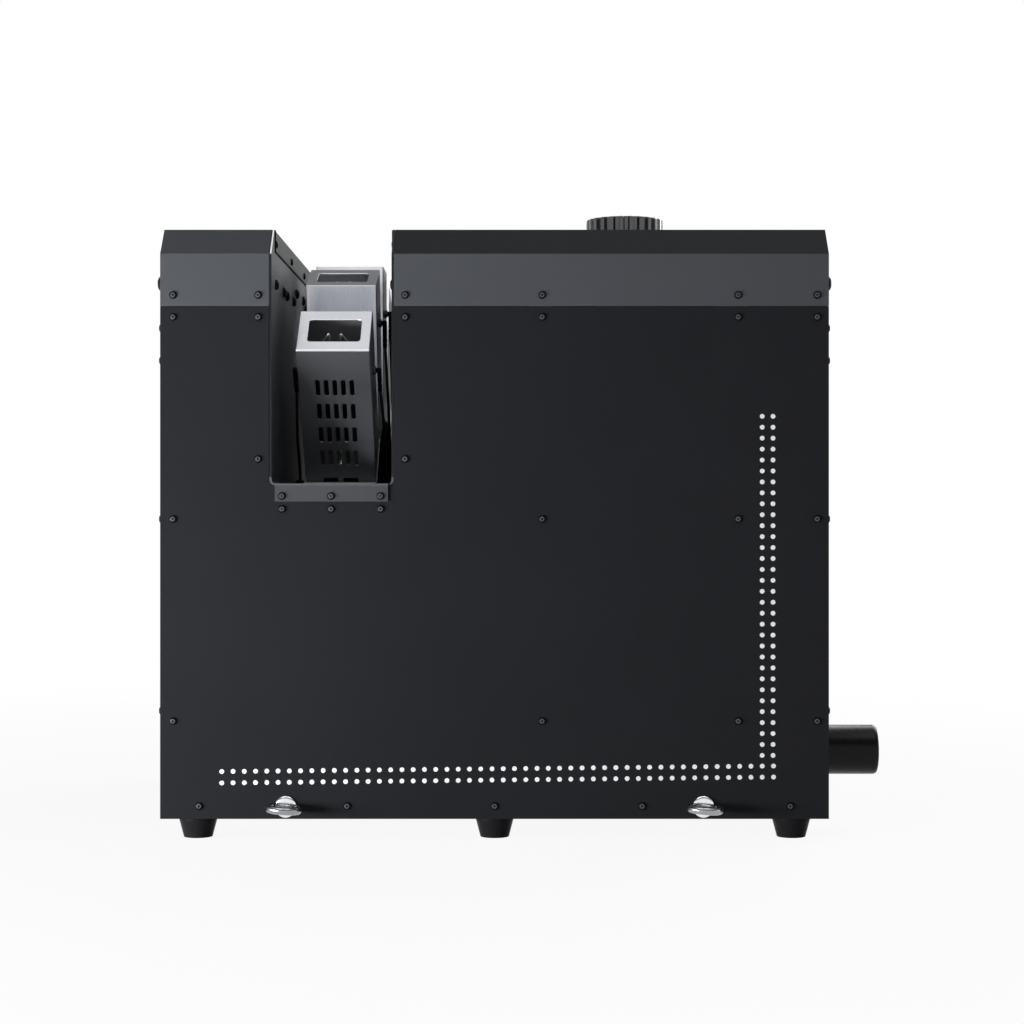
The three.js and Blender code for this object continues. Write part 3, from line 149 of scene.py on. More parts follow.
def spread(tree, value, low, high, start=0.3, end=0.7):
    """The value's middle range laid out from low to high."""
    node = tree.nodes.new("ShaderNodeMapRange")
    for key, number in (("From Min", start), ("From Max", end), ("To Min", low), ("To Max", high)):
        node.inputs[key].default_value = number
    tree.links.new(value, node.inputs["Value"])
    return node.outputs["Result"]


def blend_colours(tree, value, first, second, start=0.3, end=0.7):
    ramp = tree.nodes.new("ShaderNodeValToRGB")
    ramp.color_ramp.elements[0].position = start
    ramp.color_ramp.elements[0].color = (*first, 1)
    ramp.color_ramp.elements[1].position = end
    ramp.color_ramp.elements[1].color = (*second, 1)
    tree.links.new(value, ramp.inputs["Fac"])
    return ramp.outputs["Color"]


def mottled(tree, patches, colour, shift):
    """The colour, a little darker and a little lighter in patches."""
    darker = tuple(c * (1 - shift) for c in colour)
    lighter = tuple(c * (1 + shift) for c in colour)
    return blend_colours(tree, patches, darker, lighter)


def bump(tree, value, depth, strength=1.0):
    node = tree.nodes.new("ShaderNodeBump")
    node.inputs["Distance"].default_value = depth
    node.inputs["Strength"].default_value = strength
    tree.links.new(value, node.inputs["Height"])
    return node.outputs["Normal"]


def arithmetic(tree, operation, first, second=None):
    node = tree.nodes.new("ShaderNodeMath")
    node.operation = operation
    for socket, value in zip(node.inputs, (first, second)):
        if value is None:
            continue
        if isinstance(value, (int, float)):
            socket.default_value = value
        else:
            tree.links.new(value, socket)
    return node.outputs[0]


def threshold(tree, value, limit, above=True):
    """1 where the value is above the limit, or below it."""
    return arithmetic(tree, "GREATER_THAN" if above else "LESS_THAN", value, limit)


def mixed(tree, kind, factor, first, second):
    """Two colours (RGBA) or two numbers (VALUE) mixed, each of them a socket or a constant."""
    node = tree.nodes.new("ShaderNodeMix")
    node.data_type = "RGBA" if kind == "RGBA" else "FLOAT"
    tree.links.new(factor, node.inputs["Factor"])
    for key, value in (("A", first), ("B", second)):
        socket = next(s for s in node.inputs if s.name == key and s.type == kind)
        if isinstance(value, bpy.types.NodeSocket):
            tree.links.new(value, socket)
        else:
            socket.default_value = (*value, 1) if kind == "RGBA" else value
    return next(s for s in node.outputs if s.type == kind)


def mix_colours(tree, factor, first, second):
    return mixed(tree, "RGBA", factor, first, second)


def mix_values(tree, factor, first, second):
    return mixed(tree, "VALUE", factor, first, second)


# Finishes

def grained(tree, shader, fine, rough, depth, level):
    """An uneven gloss and a relief from the same fine grain, and the strength of the gloss."""
    tree.links.new(spread(tree, fine, *rough), shader.inputs["Roughness"])
    tree.links.new(bump(tree, fine, depth), shader.inputs["Normal"])
    shader.inputs["Specular IOR Level"].default_value = level


def surface(name, colour, shift, rough, metallic=0.0, level=0.5, grain=900, depth=2e-5, coat=0.0):
    """A finish with slow colour patches, a fine grain in relief and an uneven gloss."""
    material, tree, shader = new_material(name)
    plain = coordinates(tree)
    patches = noise(tree, plain, 7, 4, 0.6)
    fine = noise(tree, plain, grain, 2, 0.55)
    tree.links.new(mottled(tree, patches, colour, shift), shader.inputs["Base Color"])
    grained(tree, shader, fine, rough, depth, level)
    shader.inputs["Metallic"].default_value = metallic
    shader.inputs["Coat Weight"].default_value = coat
    return material


def chimney_finish(name, tilt, front, inside_light, mouth):
    """Brushed sheet steel with darker sides; the first chimney's front painted with light at its
    foot and shade at its mouth, the mouth plates in tones of their own, and painted light and shade
    inside.
    """
    material, tree, shader = new_material(name)
    plain = coordinates(tree)
    from_hub = tree.nodes.new("ShaderNodeVectorMath")
    from_hub.operation = "SUBTRACT"
    from_hub.inputs[1].default_value = (SLOT * MM, MIDDLE * MM, HUB * MM)
    tree.links.new(plain, from_hub.inputs[0])
    local = mapped(tree, from_hub.outputs["Vector"], "Rotation", (-tilt, 0, 0))
    axes = split_axes(tree, local)
    streaks = noise(tree, mapped(tree, local, "Scale", (1, 1, 0.02)), 1500, 3, 0.6)
    patches = noise(tree, plain, 18, 4, 0.6)

    def tone(colour):
        return blend_colours(tree, patches, tuple(c * 0.93 for c in colour), colour)

    def steel(level):
        return level * 0.97, level, level * 1.08, 1

    sideways = arithmetic(tree, "ABSOLUTE", axes["X"])
    side = threshold(tree, sideways, (HALF_WIDTH - 0.2) * MM)
    colour = mix_colours(tree, side, tone((0.82, 0.835, 0.88)), tone((0.42, 0.43, 0.46)))
    gloss = spread(tree, streaks, 0.26, 0.36)
    metal = mix_values(tree, side, 1.0, 0.55)
    # Painted light and shade: the first chimney's front runs from bright at its foot to dark under
    # its mouth.
    if front:
        face = threshold(tree, axes["Y"], (0.75 - HALF_DEPTH) * MM, False)
        below = threshold(tree, axes["Z"], (REACH - 1.7) * MM, False)
        face = arithmetic(tree, "MULTIPLY", face, below)
        ramp = tree.nodes.new("ShaderNodeValToRGB")
        ramp.color_ramp.elements[0].color = steel(front[0])
        ramp.color_ramp.elements[1].color = steel(front[2])
        ramp.color_ramp.elements.new(0.42).color = steel(front[1])
        tree.links.new(spread(tree, axes["Z"], 0.0, 1.0, 0.205, 0.325), ramp.inputs["Fac"])
        colour = mix_colours(tree, face, colour, ramp.outputs["Color"])
        gloss = mix_values(tree, face, gloss, spread(tree, streaks, 0.46, 0.56))
        metal = mix_values(tree, face, metal, 0.3)
    # Mouth plate in its own tone; the darker tones of the first two chimneys are painted shade.
    plate = threshold(tree, axes["Z"], (REACH - 0.25) * MM)
    colour = mix_colours(tree, plate, colour, tone(mouth))
    # Inside: painted light near the mouth, fading to painted shade deep down.
    across = threshold(tree, sideways, (HALF_WIDTH - SHEET) * MM, False)
    from_middle = arithmetic(tree, "ABSOLUTE", axes["Y"])
    deep = threshold(tree, from_middle, (HALF_DEPTH - SHEET) * MM, False)
    under = threshold(tree, axes["Z"], (REACH - 1.4) * MM, False)
    inside = arithmetic(tree, "MULTIPLY", arithmetic(tree, "MULTIPLY", across, deep), under)
    depth = spread(tree, axes["Z"], 0.0, 1.0, 0.295, 0.325)
    inside_light_and_shade = mix_colours(tree, depth, tone((0.03, 0.03, 0.032)), tone(inside_light))
    colour = mix_colours(tree, inside, colour, inside_light_and_shade)
    tree.links.new(colour, shader.inputs["Base Color"])
    tree.links.new(gloss, shader.inputs["Roughness"])
    tree.links.new(bump(tree, streaks, 1e-6, 0.6), shader.inputs["Normal"])
    tree.links.new(mix_values(tree, inside, metal, 0.35), shader.inputs["Metallic"])
    return material


def liner_finish(name, colour, rim, strip, rough, level):
    """Coat of the slot liner: its end edges like the panels, with a painted highlight at their
    bottom corners, its strips nearly like the lids.
    """
    material, tree, shader = new_material(name)
    plain = coordinates(tree)
    axes = split_axes(tree, plain)
    patches = noise(tree, plain, 7, 4, 0.6)
    fine = noise(tree, plain, 500, 2, 0.55)
    wall = mottled(tree, patches, colour, 0.08)
    ahead = threshold(tree, axes["Y"], (FRONT + 0.5) * MM, False)
    behind = threshold(tree, axes["Y"], (REAR - 0.5) * MM)
    edge = arithmetic(tree, "MAXIMUM", ahead, behind)
    corner_top = (FLOOR + 6) * MM
    above = threshold(tree, axes["Z"], corner_top)
    highlit_corner = threshold(tree, axes["Z"], corner_top, False)
    low = threshold(tree, axes["Z"], (FLOOR - 2.2) * MM, False)
    tone = mix_colours(tree, arithmetic(tree, "MULTIPLY", edge, above), wall, rim)
    # Painted highlight: the end edges are lighter at their bottom corners.
    corner_highlight_tone = (0.095, 0.098, 0.105)
    tone = mix_colours(tree, arithmetic(tree, "MULTIPLY", edge, highlit_corner), tone, corner_highlight_tone)
    tone = mix_colours(tree, arithmetic(tree, "MULTIPLY", edge, low), tone, strip)
    tree.links.new(tone, shader.inputs["Base Color"])
    grained(tree, shader, fine, rough, 2e-5, level)
    return material


def lid_finish(name, colour, top, rough, level):
    """Powder coat of a lid: skirt and hanging flange in their tones, the hood in a tone set per lid
    (painted light on the left lid, painted shade on the right), side bolts black.
    """
    material, tree, shader = new_material(name)
    plain = coordinates(tree)
    axes = split_axes(tree, plain)
    patches = noise(tree, plain, 7, 4, 0.6)
    fine = noise(tree, plain, 700, 2, 0.55)
    skirt = mottled(tree, patches, colour, 0.04)
    hood = mottled(tree, patches, top, 0.04)
    tone = mix_colours(tree, threshold(tree, axes["Z"], FOLD * MM), skirt, hood)
    left_bolts = threshold(tree, axes["X"], (LEFT - 0.3) * MM, False)
    right_bolts = threshold(tree, axes["X"], (RIGHT + 0.3) * MM)
    bolts = arithmetic(tree, "MAXIMUM", left_bolts, right_bolts)
    tone = mix_colours(tree, bolts, tone, (0.006, 0.006, 0.007))
    from_slot = arithmetic(tree, "SUBTRACT", axes["X"], SLOT * MM)
    aside = arithmetic(tree, "ABSOLUTE", from_slot)
    flange = threshold(tree, aside, ((WALL_RIGHT - WALL_LEFT) / 2 + 0.6) * MM, False)
    tone = mix_colours(tree, flange, tone, (0.026, 0.028, 0.031))
    tree.links.new(tone, shader.inputs["Base Color"])
    grained(tree, shader, fine, rough, 2e-5, level)
    return material


def metal_finish(name, colour, shift, rough, grain, depth=1e-5):
    return surface(name, colour, shift, rough, metallic=1.0, grain=grain, depth=depth)


PANEL_TONE = (0.0170, 0.0175, 0.0198)
black_paint = surface("black_powder_coat", PANEL_TONE, 0.05, (0.5, 0.62), level=0.04, grain=700)
# The left lid's hood is a little lighter than its skirt as painted light; the right lid's hood is
# dark as painted shade.
left_paint = lid_finish(
    "left_lid_coat", (0.074, 0.078, 0.086), (0.080, 0.085, 0.094), (0.42, 0.55), 0.05)
right_paint = lid_finish(
    "right_lid_coat", (0.073, 0.077, 0.085), (0.020, 0.0215, 0.024), (0.42, 0.55), 0.08)
slot_paint = liner_finish(
    "slot_liner_coat", (0.052, 0.055, 0.061), PANEL_TONE, (0.061, 0.064, 0.070), (0.42, 0.54), 0.08)
inner_zinc = surface(
    "galvanised_sheet", (0.30, 0.31, 0.32), 0.12, (0.38, 0.52), metallic=0.8, grain=60, depth=1e-5)
motor_paint = surface("motor_paint", (0.05, 0.055, 0.06), 0.08, (0.4, 0.5), level=0.35, grain=600)
rubber = surface(
    "black_rubber", (0.013, 0.013, 0.0145), 0.15, (0.28, 0.36), level=0.035, grain=1100)
gloss_black = surface(
    "gloss_black_plastic", (0.012, 0.012, 0.0135), 0.1, (0.22, 0.30), level=0.11, grain=300,
    depth=1e-6)
satin_black = surface(
    "satin_black_plastic", (0.009, 0.009, 0.010), 0.1, (0.3, 0.4), level=0.25, grain=1400)
cap_black = surface(
    "moulded_cap", (0.012, 0.012, 0.013), 0.1, (0.22, 0.30), level=1.0, grain=1400, depth=8e-6,
    coat=0.4)
lead_black = surface(
    "silicone_lead", (0.030, 0.030, 0.033), 0.1, (0.3, 0.4), level=0.2, grain=900, depth=6e-6)
oxide = surface(
    "black_oxide_steel", (0.004, 0.004, 0.005), 0.25, (0.36, 0.48), level=0.06, grain=1600)
# Black for the chimney clips, and painted shade on the lid flanges' edges and in the socket holes.
black_and_painted_shade = surface("black_and_painted_shade", (0.003, 0.003, 0.003), 0.1, (0.6, 0.7), level=0.02, grain=1600)
# Dark steel for the electrode nuts, and a painted highlight on the flat tops of the screw heads.
steel_and_highlight = surface(
    "steel_and_painted_highlight", (0.075, 0.078, 0.085), 0.2, (0.4, 0.5), metallic=0.6, level=0.3, grain=1600)
# Darker metal for the eye-bolt rings: painted shade.
shaded_chrome = metal_finish("chrome_painted_shade", (0.34, 0.345, 0.36), 0.1, (0.2, 0.3), 260)
chrome = metal_finish("chrome_plate", (0.84, 0.85, 0.88), 0.03, (0.17, 0.24), 160, 6e-6)
nickel = metal_finish("nickel_plate", (0.62, 0.61, 0.58), 0.08, (0.2, 0.32), 900)
brass = metal_finish("brass", (0.62, 0.44, 0.20), 0.1, (0.22, 0.34), 900)
aluminium = metal_finish("aluminium", (0.55, 0.56, 0.57), 0.06, (0.3, 0.42), 1200)
tank_steel = metal_finish("tank_steel", (0.42, 0.43, 0.44), 0.08, (0.3, 0.42), 260)
ceramic = surface("glazed_ceramic", (0.055, 0.052, 0.050), 0.08, (0.18, 0.3), depth=8e-6)
red_plastic = surface(
    "red_plastic", (0.52, 0.018, 0.012), 0.05, (0.26, 0.36), grain=1200, depth=8e-6)
board_green = surface("circuit_board", (0.02, 0.09, 0.04), 0.25, (0.3, 0.45), grain=1500)
print_white = surface(
    "white_print", (0.95, 0.95, 0.95), 0.02, (0.45, 0.55), level=0.3, grain=1800, depth=6e-6)
print_yellow = surface(
    "yellow_print", (0.75, 0.50, 0.03), 0.03, (0.45, 0.55), level=0.3, grain=1800, depth=6e-6)
display_glass = surface(
    "display_glass", (0.006, 0.009, 0.012), 0.1, (0.05, 0.09), level=0.6, grain=80, depth=2e-6)
# Painted highlight along the slot edge of the left lid's chamfers.
edge_highlight = surface(
    "painted_edge_highlight", (0.86, 0.87, 0.90), 0.05, (0.28, 0.38), metallic=0.7, depth=8e-6)
wire_steel = surface(
    "electrode_wire", (0.86, 0.85, 0.84), 0.06, (0.32, 0.42), metallic=0.7, grain=1500, depth=8e-6)


def fan_tilt(index):
    return (COUNT // 2 - index) * STEP


# The first chimney's front goes from bright at its foot to dark at its mouth, as painted light and
# shade; the mouths of the first two are darker than those behind them, as painted shade; the
# painted light inside near the mouth is dimmer in the first chimney.
chimney_steel = []
for i in range(COUNT):
    front = (0.40, 0.17, 0.057) if i == 0 else None
    inside_light = (0.42, 0.42, 0.44) if i == 0 else (0.88, 0.89, 0.92)
    mouth = ((0.64, 0.65, 0.69), (0.50, 0.505, 0.53), (0.90, 0.91, 0.94))[min(i, 2)]
    steel = chimney_finish(f"brushed_steel_{i + 1}", fan_tilt(i), front, inside_light, mouth)
    chimney_steel.append(steel)


# Shapes

class Shape:
    """Collects the faces of one piece, in millimetres."""

    def __init__(self):
        self.mesh = bmesh.new()

    def add(self, points, faces, place=Matrix.Identity(4), material=0):
        corners = [self.mesh.verts.new(place @ Vector(point)) for point in points]
        for face in faces:
            made = self.mesh.faces.new([corners[i] for i in face])
            made.material_index = material

    def rings(self, loops, place=Matrix.Identity(4), material=0, closed=False):
        """Skin over loops of points; a loop of one point is a tip."""
        points = [point for loop in loops for point in loop]
        starts = []
        total = 0
        for loop in loops:
            starts.append(total)
            total += len(loop)
        faces = []
        pairs = list(zip(range(len(loops)), range(1, len(loops))))
        if closed:
            pairs.append((len(loops) - 1, 0))
        for a, b in pairs:
            count_a = len(loops[a])
            count_b = len(loops[b])
            steps = max(count_a, count_b)
            for i in range(steps):
                j = (i + 1) % steps
                if count_a == 1:
                    faces.append((starts[a], starts[b] + i, starts[b] + j))
                elif count_b == 1:
                    faces.append((starts[a] + i, starts[b], starts[a] + j))
                else:
                    faces.append((starts[a] + i, starts[b] + i, starts[b] + j, starts[a] + j))
        self.add(points, faces, place, material)

    def lathe(self, outline, place=Matrix.Identity(4), steps=48, material=0, closed=False):
        """Turned body: pairs of radius and height about the place's Z axis."""
        loops = []
        for radius, height in outline:
            if radius == 0:
                loops.append([(0, 0, height)])
                continue
            angles = [2 * math.pi * i / steps for i in range(steps)]
            loops.append([(radius * math.cos(a), radius * math.sin(a), height) for a in angles])
        self.rings(loops, place, material, closed)

    def prism(self, outline, low, high, place=Matrix.Identity(4), material=0):
        """A flat outline drawn out from low to high along the place's Z axis."""
        count = len(outline)
        points = [(x, y, low) for x, y in outline] + [(x, y, high) for x, y in outline]
        faces = [tuple(reversed(range(count))), tuple(range(count, 2 * count))]
        for i in range(count):
            j = (i + 1) % count
            faces.append((i, j, count + j, count + i))
        self.add(points, faces, place, material)

    def bar(self, low, high):
        """A straight bar between two corners."""
        outline = [(low[0], low[1]), (high[0], low[1]), (high[0], high[1]), (low[0], high[1])]
        self.prism(outline, low[2], high[2])

    def tube(self, path, radius, steps=16, material=0):
        """A round bar along a path of points, with closed ends."""
        path = [Vector(point) for point in path]
        loops = []
        side = None
        for i, point in enumerate(path):
            ahead = (path[min(i + 1, len(path) - 1)] - path[max(i - 1, 0)]).normalized()
            if side is None:
                side = ahead.orthogonal().normalized()
            side = (side - ahead * side.dot(ahead)).normalized()
            other = ahead.cross(side)
            loop = []
            for k in range(steps):
                angle = 2 * math.pi * k / steps
                loop.append(point + radius * (side * math.cos(angle) + other * math.sin(angle)))
            loops.append(loop)
        self.rings([[path[0]]] + loops + [[path[-1]]], material=material)

    def piece(self, name, body, slot, materials, stands_for=(), sharp=35, bevel=0.0):
        """Make the piece, smooth apart from its sharp edges, and let it ride on its body."""
        bmesh.ops.remove_doubles(self.mesh, verts=self.mesh.verts, dist=0.0005)
        bmesh.ops.recalc_face_normals(self.mesh, faces=self.mesh.faces)
        bmesh.ops.scale(self.mesh, vec=(MM, MM, MM), verts=self.mesh.verts)
        for face in self.mesh.faces:
            face.smooth = True
        for edge in self.mesh.edges:
            edge.smooth = len(edge.link_faces) == 2 and edge.calc_face_angle() < math.radians(sharp)
        data = bpy.data.meshes.new(name)
        self.mesh.to_mesh(data)
        self.mesh.free()
        thing = bpy.data.objects.new(name, data)
        bpy.context.scene.collection.objects.link(thing)
        for material in materials:
            data.materials.append(material)
        if bevel:
            round_edges(thing, bevel, weld=False)
        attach(thing, body)
        if stands_for:
            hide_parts(*stands_for)


def round_edges(thing, width, weld=True):
    if weld:
        join = thing.modifiers.new("weld", "WELD")
        join.merge_threshold = 1e-6
    edge = thing.modifiers.new("bevel", "BEVEL")
    edge.width = width * MM
    edge.segments = 2
    edge.limit_method = "ANGLE"
    edge.angle_limit = math.radians(40)
    edge.use_clamp_overlap = True
    normals = thing.modifiers.new("normals", "WEIGHTED_NORMAL")
    normals.keep_sharp = True


def facing(x, y, z, direction, turn=0.0):
    """A place whose Z axis points in that direction."""
    rotation = Vector(direction).to_track_quat("Z", "Y").to_matrix().to_4x4()
    return Matrix.Translation((x, y, z)) @ rotation @ Matrix.Rotation(turn, 4, "Z")


ACROSS = Matrix(((0, 0, 1, 0), (1, 0, 0, 0), (0, 1, 0, 0), (0, 0, 0, 1)))


def arc(radius, start, end, steps, centre=(0, 0)):
    """Points on an arc, with angles in degrees."""
    points = []
    for i in range(steps + 1):
        angle = math.radians(start + (end - start) * i / steps)
        points.append((centre[0] + radius * math.cos(angle), centre[1] + radius * math.sin(angle)))
    return points


def curve_through(points, steps):
    """A smooth path through the points."""
    points = [Vector(point) for point in points]
    padded = [2 * points[0] - points[1]] + points + [2 * points[-1] - points[-2]]
    path = []
    for i in range(1, len(padded) - 2):
        a, b, c, d = padded[i - 1:i + 3]
        for k in range(steps):
            t = k / steps
            path.append(
                0.5 * (2 * b + (c - a) * t + (2 * a - 5 * b + 4 * c - d) * t ** 2
                       + (3 * b - a - 3 * c + d) * t ** 3)
            )
    path.append(points[-1])
    return path


def socket_head(shape, place, radius, height, hexagon, rim, steps=32):
    """Domed button head with a hexagon socket in its flat top."""
    outline = [(radius, 0), (radius, height * 0.16)]
    for i in range(1, 7):
        share = i / 6
        outline.append((
            radius - (radius - rim) * (1 - math.cos(share * math.pi / 2)),
            height * (0.16 + 0.84 * math.sin(share * math.pi / 2)),
        ))
    angles = [2 * math.pi * i / steps for i in range(steps)]
    loops = [[(r * math.cos(a), r * math.sin(a), h) for a in angles] for r, h in outline]
    hexagon_loop = []
    for a in angles:
        r = hexagon / 2 / math.cos((a % (math.pi / 3)) - math.pi / 6)
        hexagon_loop.append((r * math.cos(a), r * math.sin(a)))
    rim_loop = [(x, y, height) for x, y in hexagon_loop]
    floor_loop = [(x, y, height * 0.4) for x, y in hexagon_loop]
    shape.rings(loops[:-1], place)
    # The flat top round the socket takes the second material, on most screws a painted highlight.
    shape.rings([loops[-2], loops[-1], rim_loop], place, 1)
    shape.rings([rim_loop, floor_loop, [(0, 0, height * 0.3)]], place)


# Sheet metal and the other pieces whose CAD shape is right

def dress(names, material, bevel):
    for name in names:
        thing = nodes[name]
        for holder in thing.material_slots:
            holder.material = material
        if bevel:
            round_edges(thing, bevel)


dress(
    ["base_tray", "front_panel", "rear_panel", "left_side_panel", "right_side_panel"],
    black_paint, 0.4)
dress(["left_lid"], left_paint, 0.5)
dress(["right_lid"], right_paint, 0.5)
dress(["slot_liner"], slot_paint, 0.4)
dress(["left_partition", "right_partition", "tank_shelf", "burner_carrier"], inner_zinc, 0.3)
dress(["control_plate"], black_paint, 0.3)
dress(["fuel_tank"], tank_steel, 0.5)
dress(["valve_block"], brass, 0.4)
dress(["pressure_pipe"], aluminium, 0)
dress(["pump_unit", "power_supply", "ignition_unit"], motor_paint, 0.5)
dress(["fan_frame", "fan_rotor"], satin_black, 0.3)
dress(["power_rocker"], satin_black, 0.5)
dress(["cap_gasket"], rubber, 0.2)
dress(["display_window"], display_glass, 0.3)
dress(["control_board"], board_green, 0)
for i in range(COUNT):
    dress([f"chimney_{i + 1}"], chimney_steel[i], 0.7)


# Feet

for i in range(6):
    name = f"foot_{i + 1}"
    low, high = span(name)
    place = Matrix.Translation(((low.x + high.x) / 2, (low.y + high.y) / 2, low.z))
    top = high.z - low.z
    foot = Shape()
    foot.lathe(
        [(0, 7), (6.2, 7), (6.2, 0.5), (6.7, 0)]
        + arc(0.7, -90, 17, 5, (13.55, 0.7))
        + [(18.2, 16.0)] + arc(0.8, -10, 0, 1, (17.7, 16.9))
        + [(18.5, top - 0.5), (18.1, top), (0, top)],
        place, 72,
    )
    foot.lathe(
        [(0, 4.8), (2.4, 4.8), (2.4, 3.4), (4.2, 3.4), (5.0, 4.2), (5.0, 7.2), (0, 7.2)],
        place, 32, 1,
    )
    foot.piece(f"foot_pad_{i + 1}", "machine", "rubber", [rubber, oxide], [name])


# Eye bolts, the ring in a darker metal than the chrome collar, as painted shade

for side in ("left", "right"):
    name = f"eye_bolt_{side}"
    x, _, z = middle_of(name)
    ring_radius = 18
    thick = 3.9
    ring_y = span(name)[0].y + ring_radius
    bolt = Shape()
    tilt = Matrix.Translation((x, 0, z)) @ Matrix.Rotation(math.radians(4.5), 4, "Y")
    loops = []
    for k in range(96):
        angle = 2 * math.pi * k / 96
        out = Vector((math.sin(angle), -math.cos(angle), 0))
        centre = Vector((0, ring_y, 0)) + out * (ring_radius - thick)
        loop = []
        for m in range(32):
            turn = 2 * math.pi * m / 32
            up = Vector((0, 0, thick * math.sin(turn)))
            loop.append(centre + out * thick * math.cos(turn) + up)
        loops.append(loop)
    bolt.rings(loops, tilt, closed=True)
    bolt.lathe(
        [(0, -12.9), (3.6, -12.9), (4, -12.4), (4, 0.2), (10.4, 0.2), (10.7, 0.6), (10.6, 1.2)]
        + [(10.2, 1.8), (9.5, 2.3), (8.0, 2.7), (5.5, 3.1), (3.0, 3.3), (0, 3.4)],
        facing(x, FRONT, z, (0, -1, 0)), 64, 1,
    )
    bolt.piece(f"lifting_eye_{side}", "machine", "chrome", [shaded_chrome, chrome], [name])


# Filler cap

low, high = span("fuel_cap")
cap_x = (low.x + high.x) / 2
cap_y = (low.y + high.y) / 2
cap_low = low.z
cap_high = high.z
cap_radius = (high.x - low.x) / 2
FLUTES = 24


def fluted(radius, depth, height):
    """One level of the cap: a round edge with even grooves."""
    steps = 16 * FLUTES
    loop = []
    for i in range(steps):
        angle = 2 * math.pi * i / steps
        wave = 0.5 + 0.5 * math.cos(angle * FLUTES)
        groove = min(1.0, max(0.0, (wave - 0.40) / 0.16))
        groove = groove * groove * (3 - 2 * groove)
        r = radius - depth * groove
        loop.append((r * math.cos(angle), r * math.sin(angle), height))
    return loop


cap = Shape()
place = Matrix.Translation((cap_x, cap_y, 0))
inner = cap_radius - 6.2
levels = [
    [(0, 0, cap_low + 19.4)],
    fluted(inner, 0, cap_low + 19.4),
    fluted(inner, 0, cap_low + 0.4),
    fluted(inner + 0.4, 0, cap_low),
    fluted(cap_radius - 0.8, 2.0, cap_low),
    fluted(cap_radius - 0.1, 2.3, cap_low + 0.8),
    fluted(cap_radius, 3.4, cap_low + 3),
    fluted(cap_radius, 3.4, cap_high - 2.4),
    fluted(cap_radius - 0.1, 3.3, cap_high - 1.5),
    fluted(cap_radius - 0.4, 3.0, cap_high - 0.8),
    fluted(cap_radius - 1.0, 2.4, cap_high - 0.3),
    fluted(cap_radius - 2.0, 1.4, cap_high - 0.06),
    fluted(cap_radius - 3.6, 0, cap_high),
]
cap.rings(levels, place)
disc = [
    fluted(cap_radius - 3.6, 0, cap_high),
    fluted(cap_radius - 8, 0, cap_high - 0.1),
    fluted(cap_radius - 8.6, 0, cap_high - 0.9),
    fluted(10, 0, cap_high - 0.9),
    [(0, 0, cap_high - 0.9)],
]
cap.rings(disc, place, 1)
cap.piece("filler_cap", "cap", "black_plastic", [cap_black, satin_black], ["fuel_cap"], sharp=50)


# Stub pipe

low, high = span("side_pipe")
_, pipe_y, pipe_z = middle_of("side_pipe")
outer = 25.0
bore = 22.5
round_in = 2.2
round_back = 4.5
rounding = []
for k in range(1, 8):
    angle = k * math.pi / 16
    rounding.append((
        outer - round_in * (1 - math.cos(angle)),
        high.x - round_back * (1 - math.sin(angle)),
    ))
pipe = Shape()
pipe.lathe(
    [(35.5, low.x), (38, low.x), (38, low.x + 4), (36.8, low.x + 6)]
    + [(26.4, low.x + 26.4), (outer, low.x + 29), (outer, high.x - round_back)]
    + rounding
    + arc(0.3, 90, 180, 3, (bore + 0.3, high.x - 0.3))
    + [(bore, low.x + 29), (24, low.x + 26.4), (34.4, low.x + 6), (35.5, low.x + 4)],
    facing(0, pipe_y, pipe_z, (1, 0, 0)), 96, closed=True,
)
pipe.piece("air_stub", "machine", "gloss_black", [gloss_black], ["side_pipe"])


# Electrodes, each with its ceramic, boot, lead and grommet

def local_frame(index):
    return Matrix.Translation((SLOT, MIDDLE, HUB)) @ Matrix.Rotation(fan_tilt(index), 4, "X")


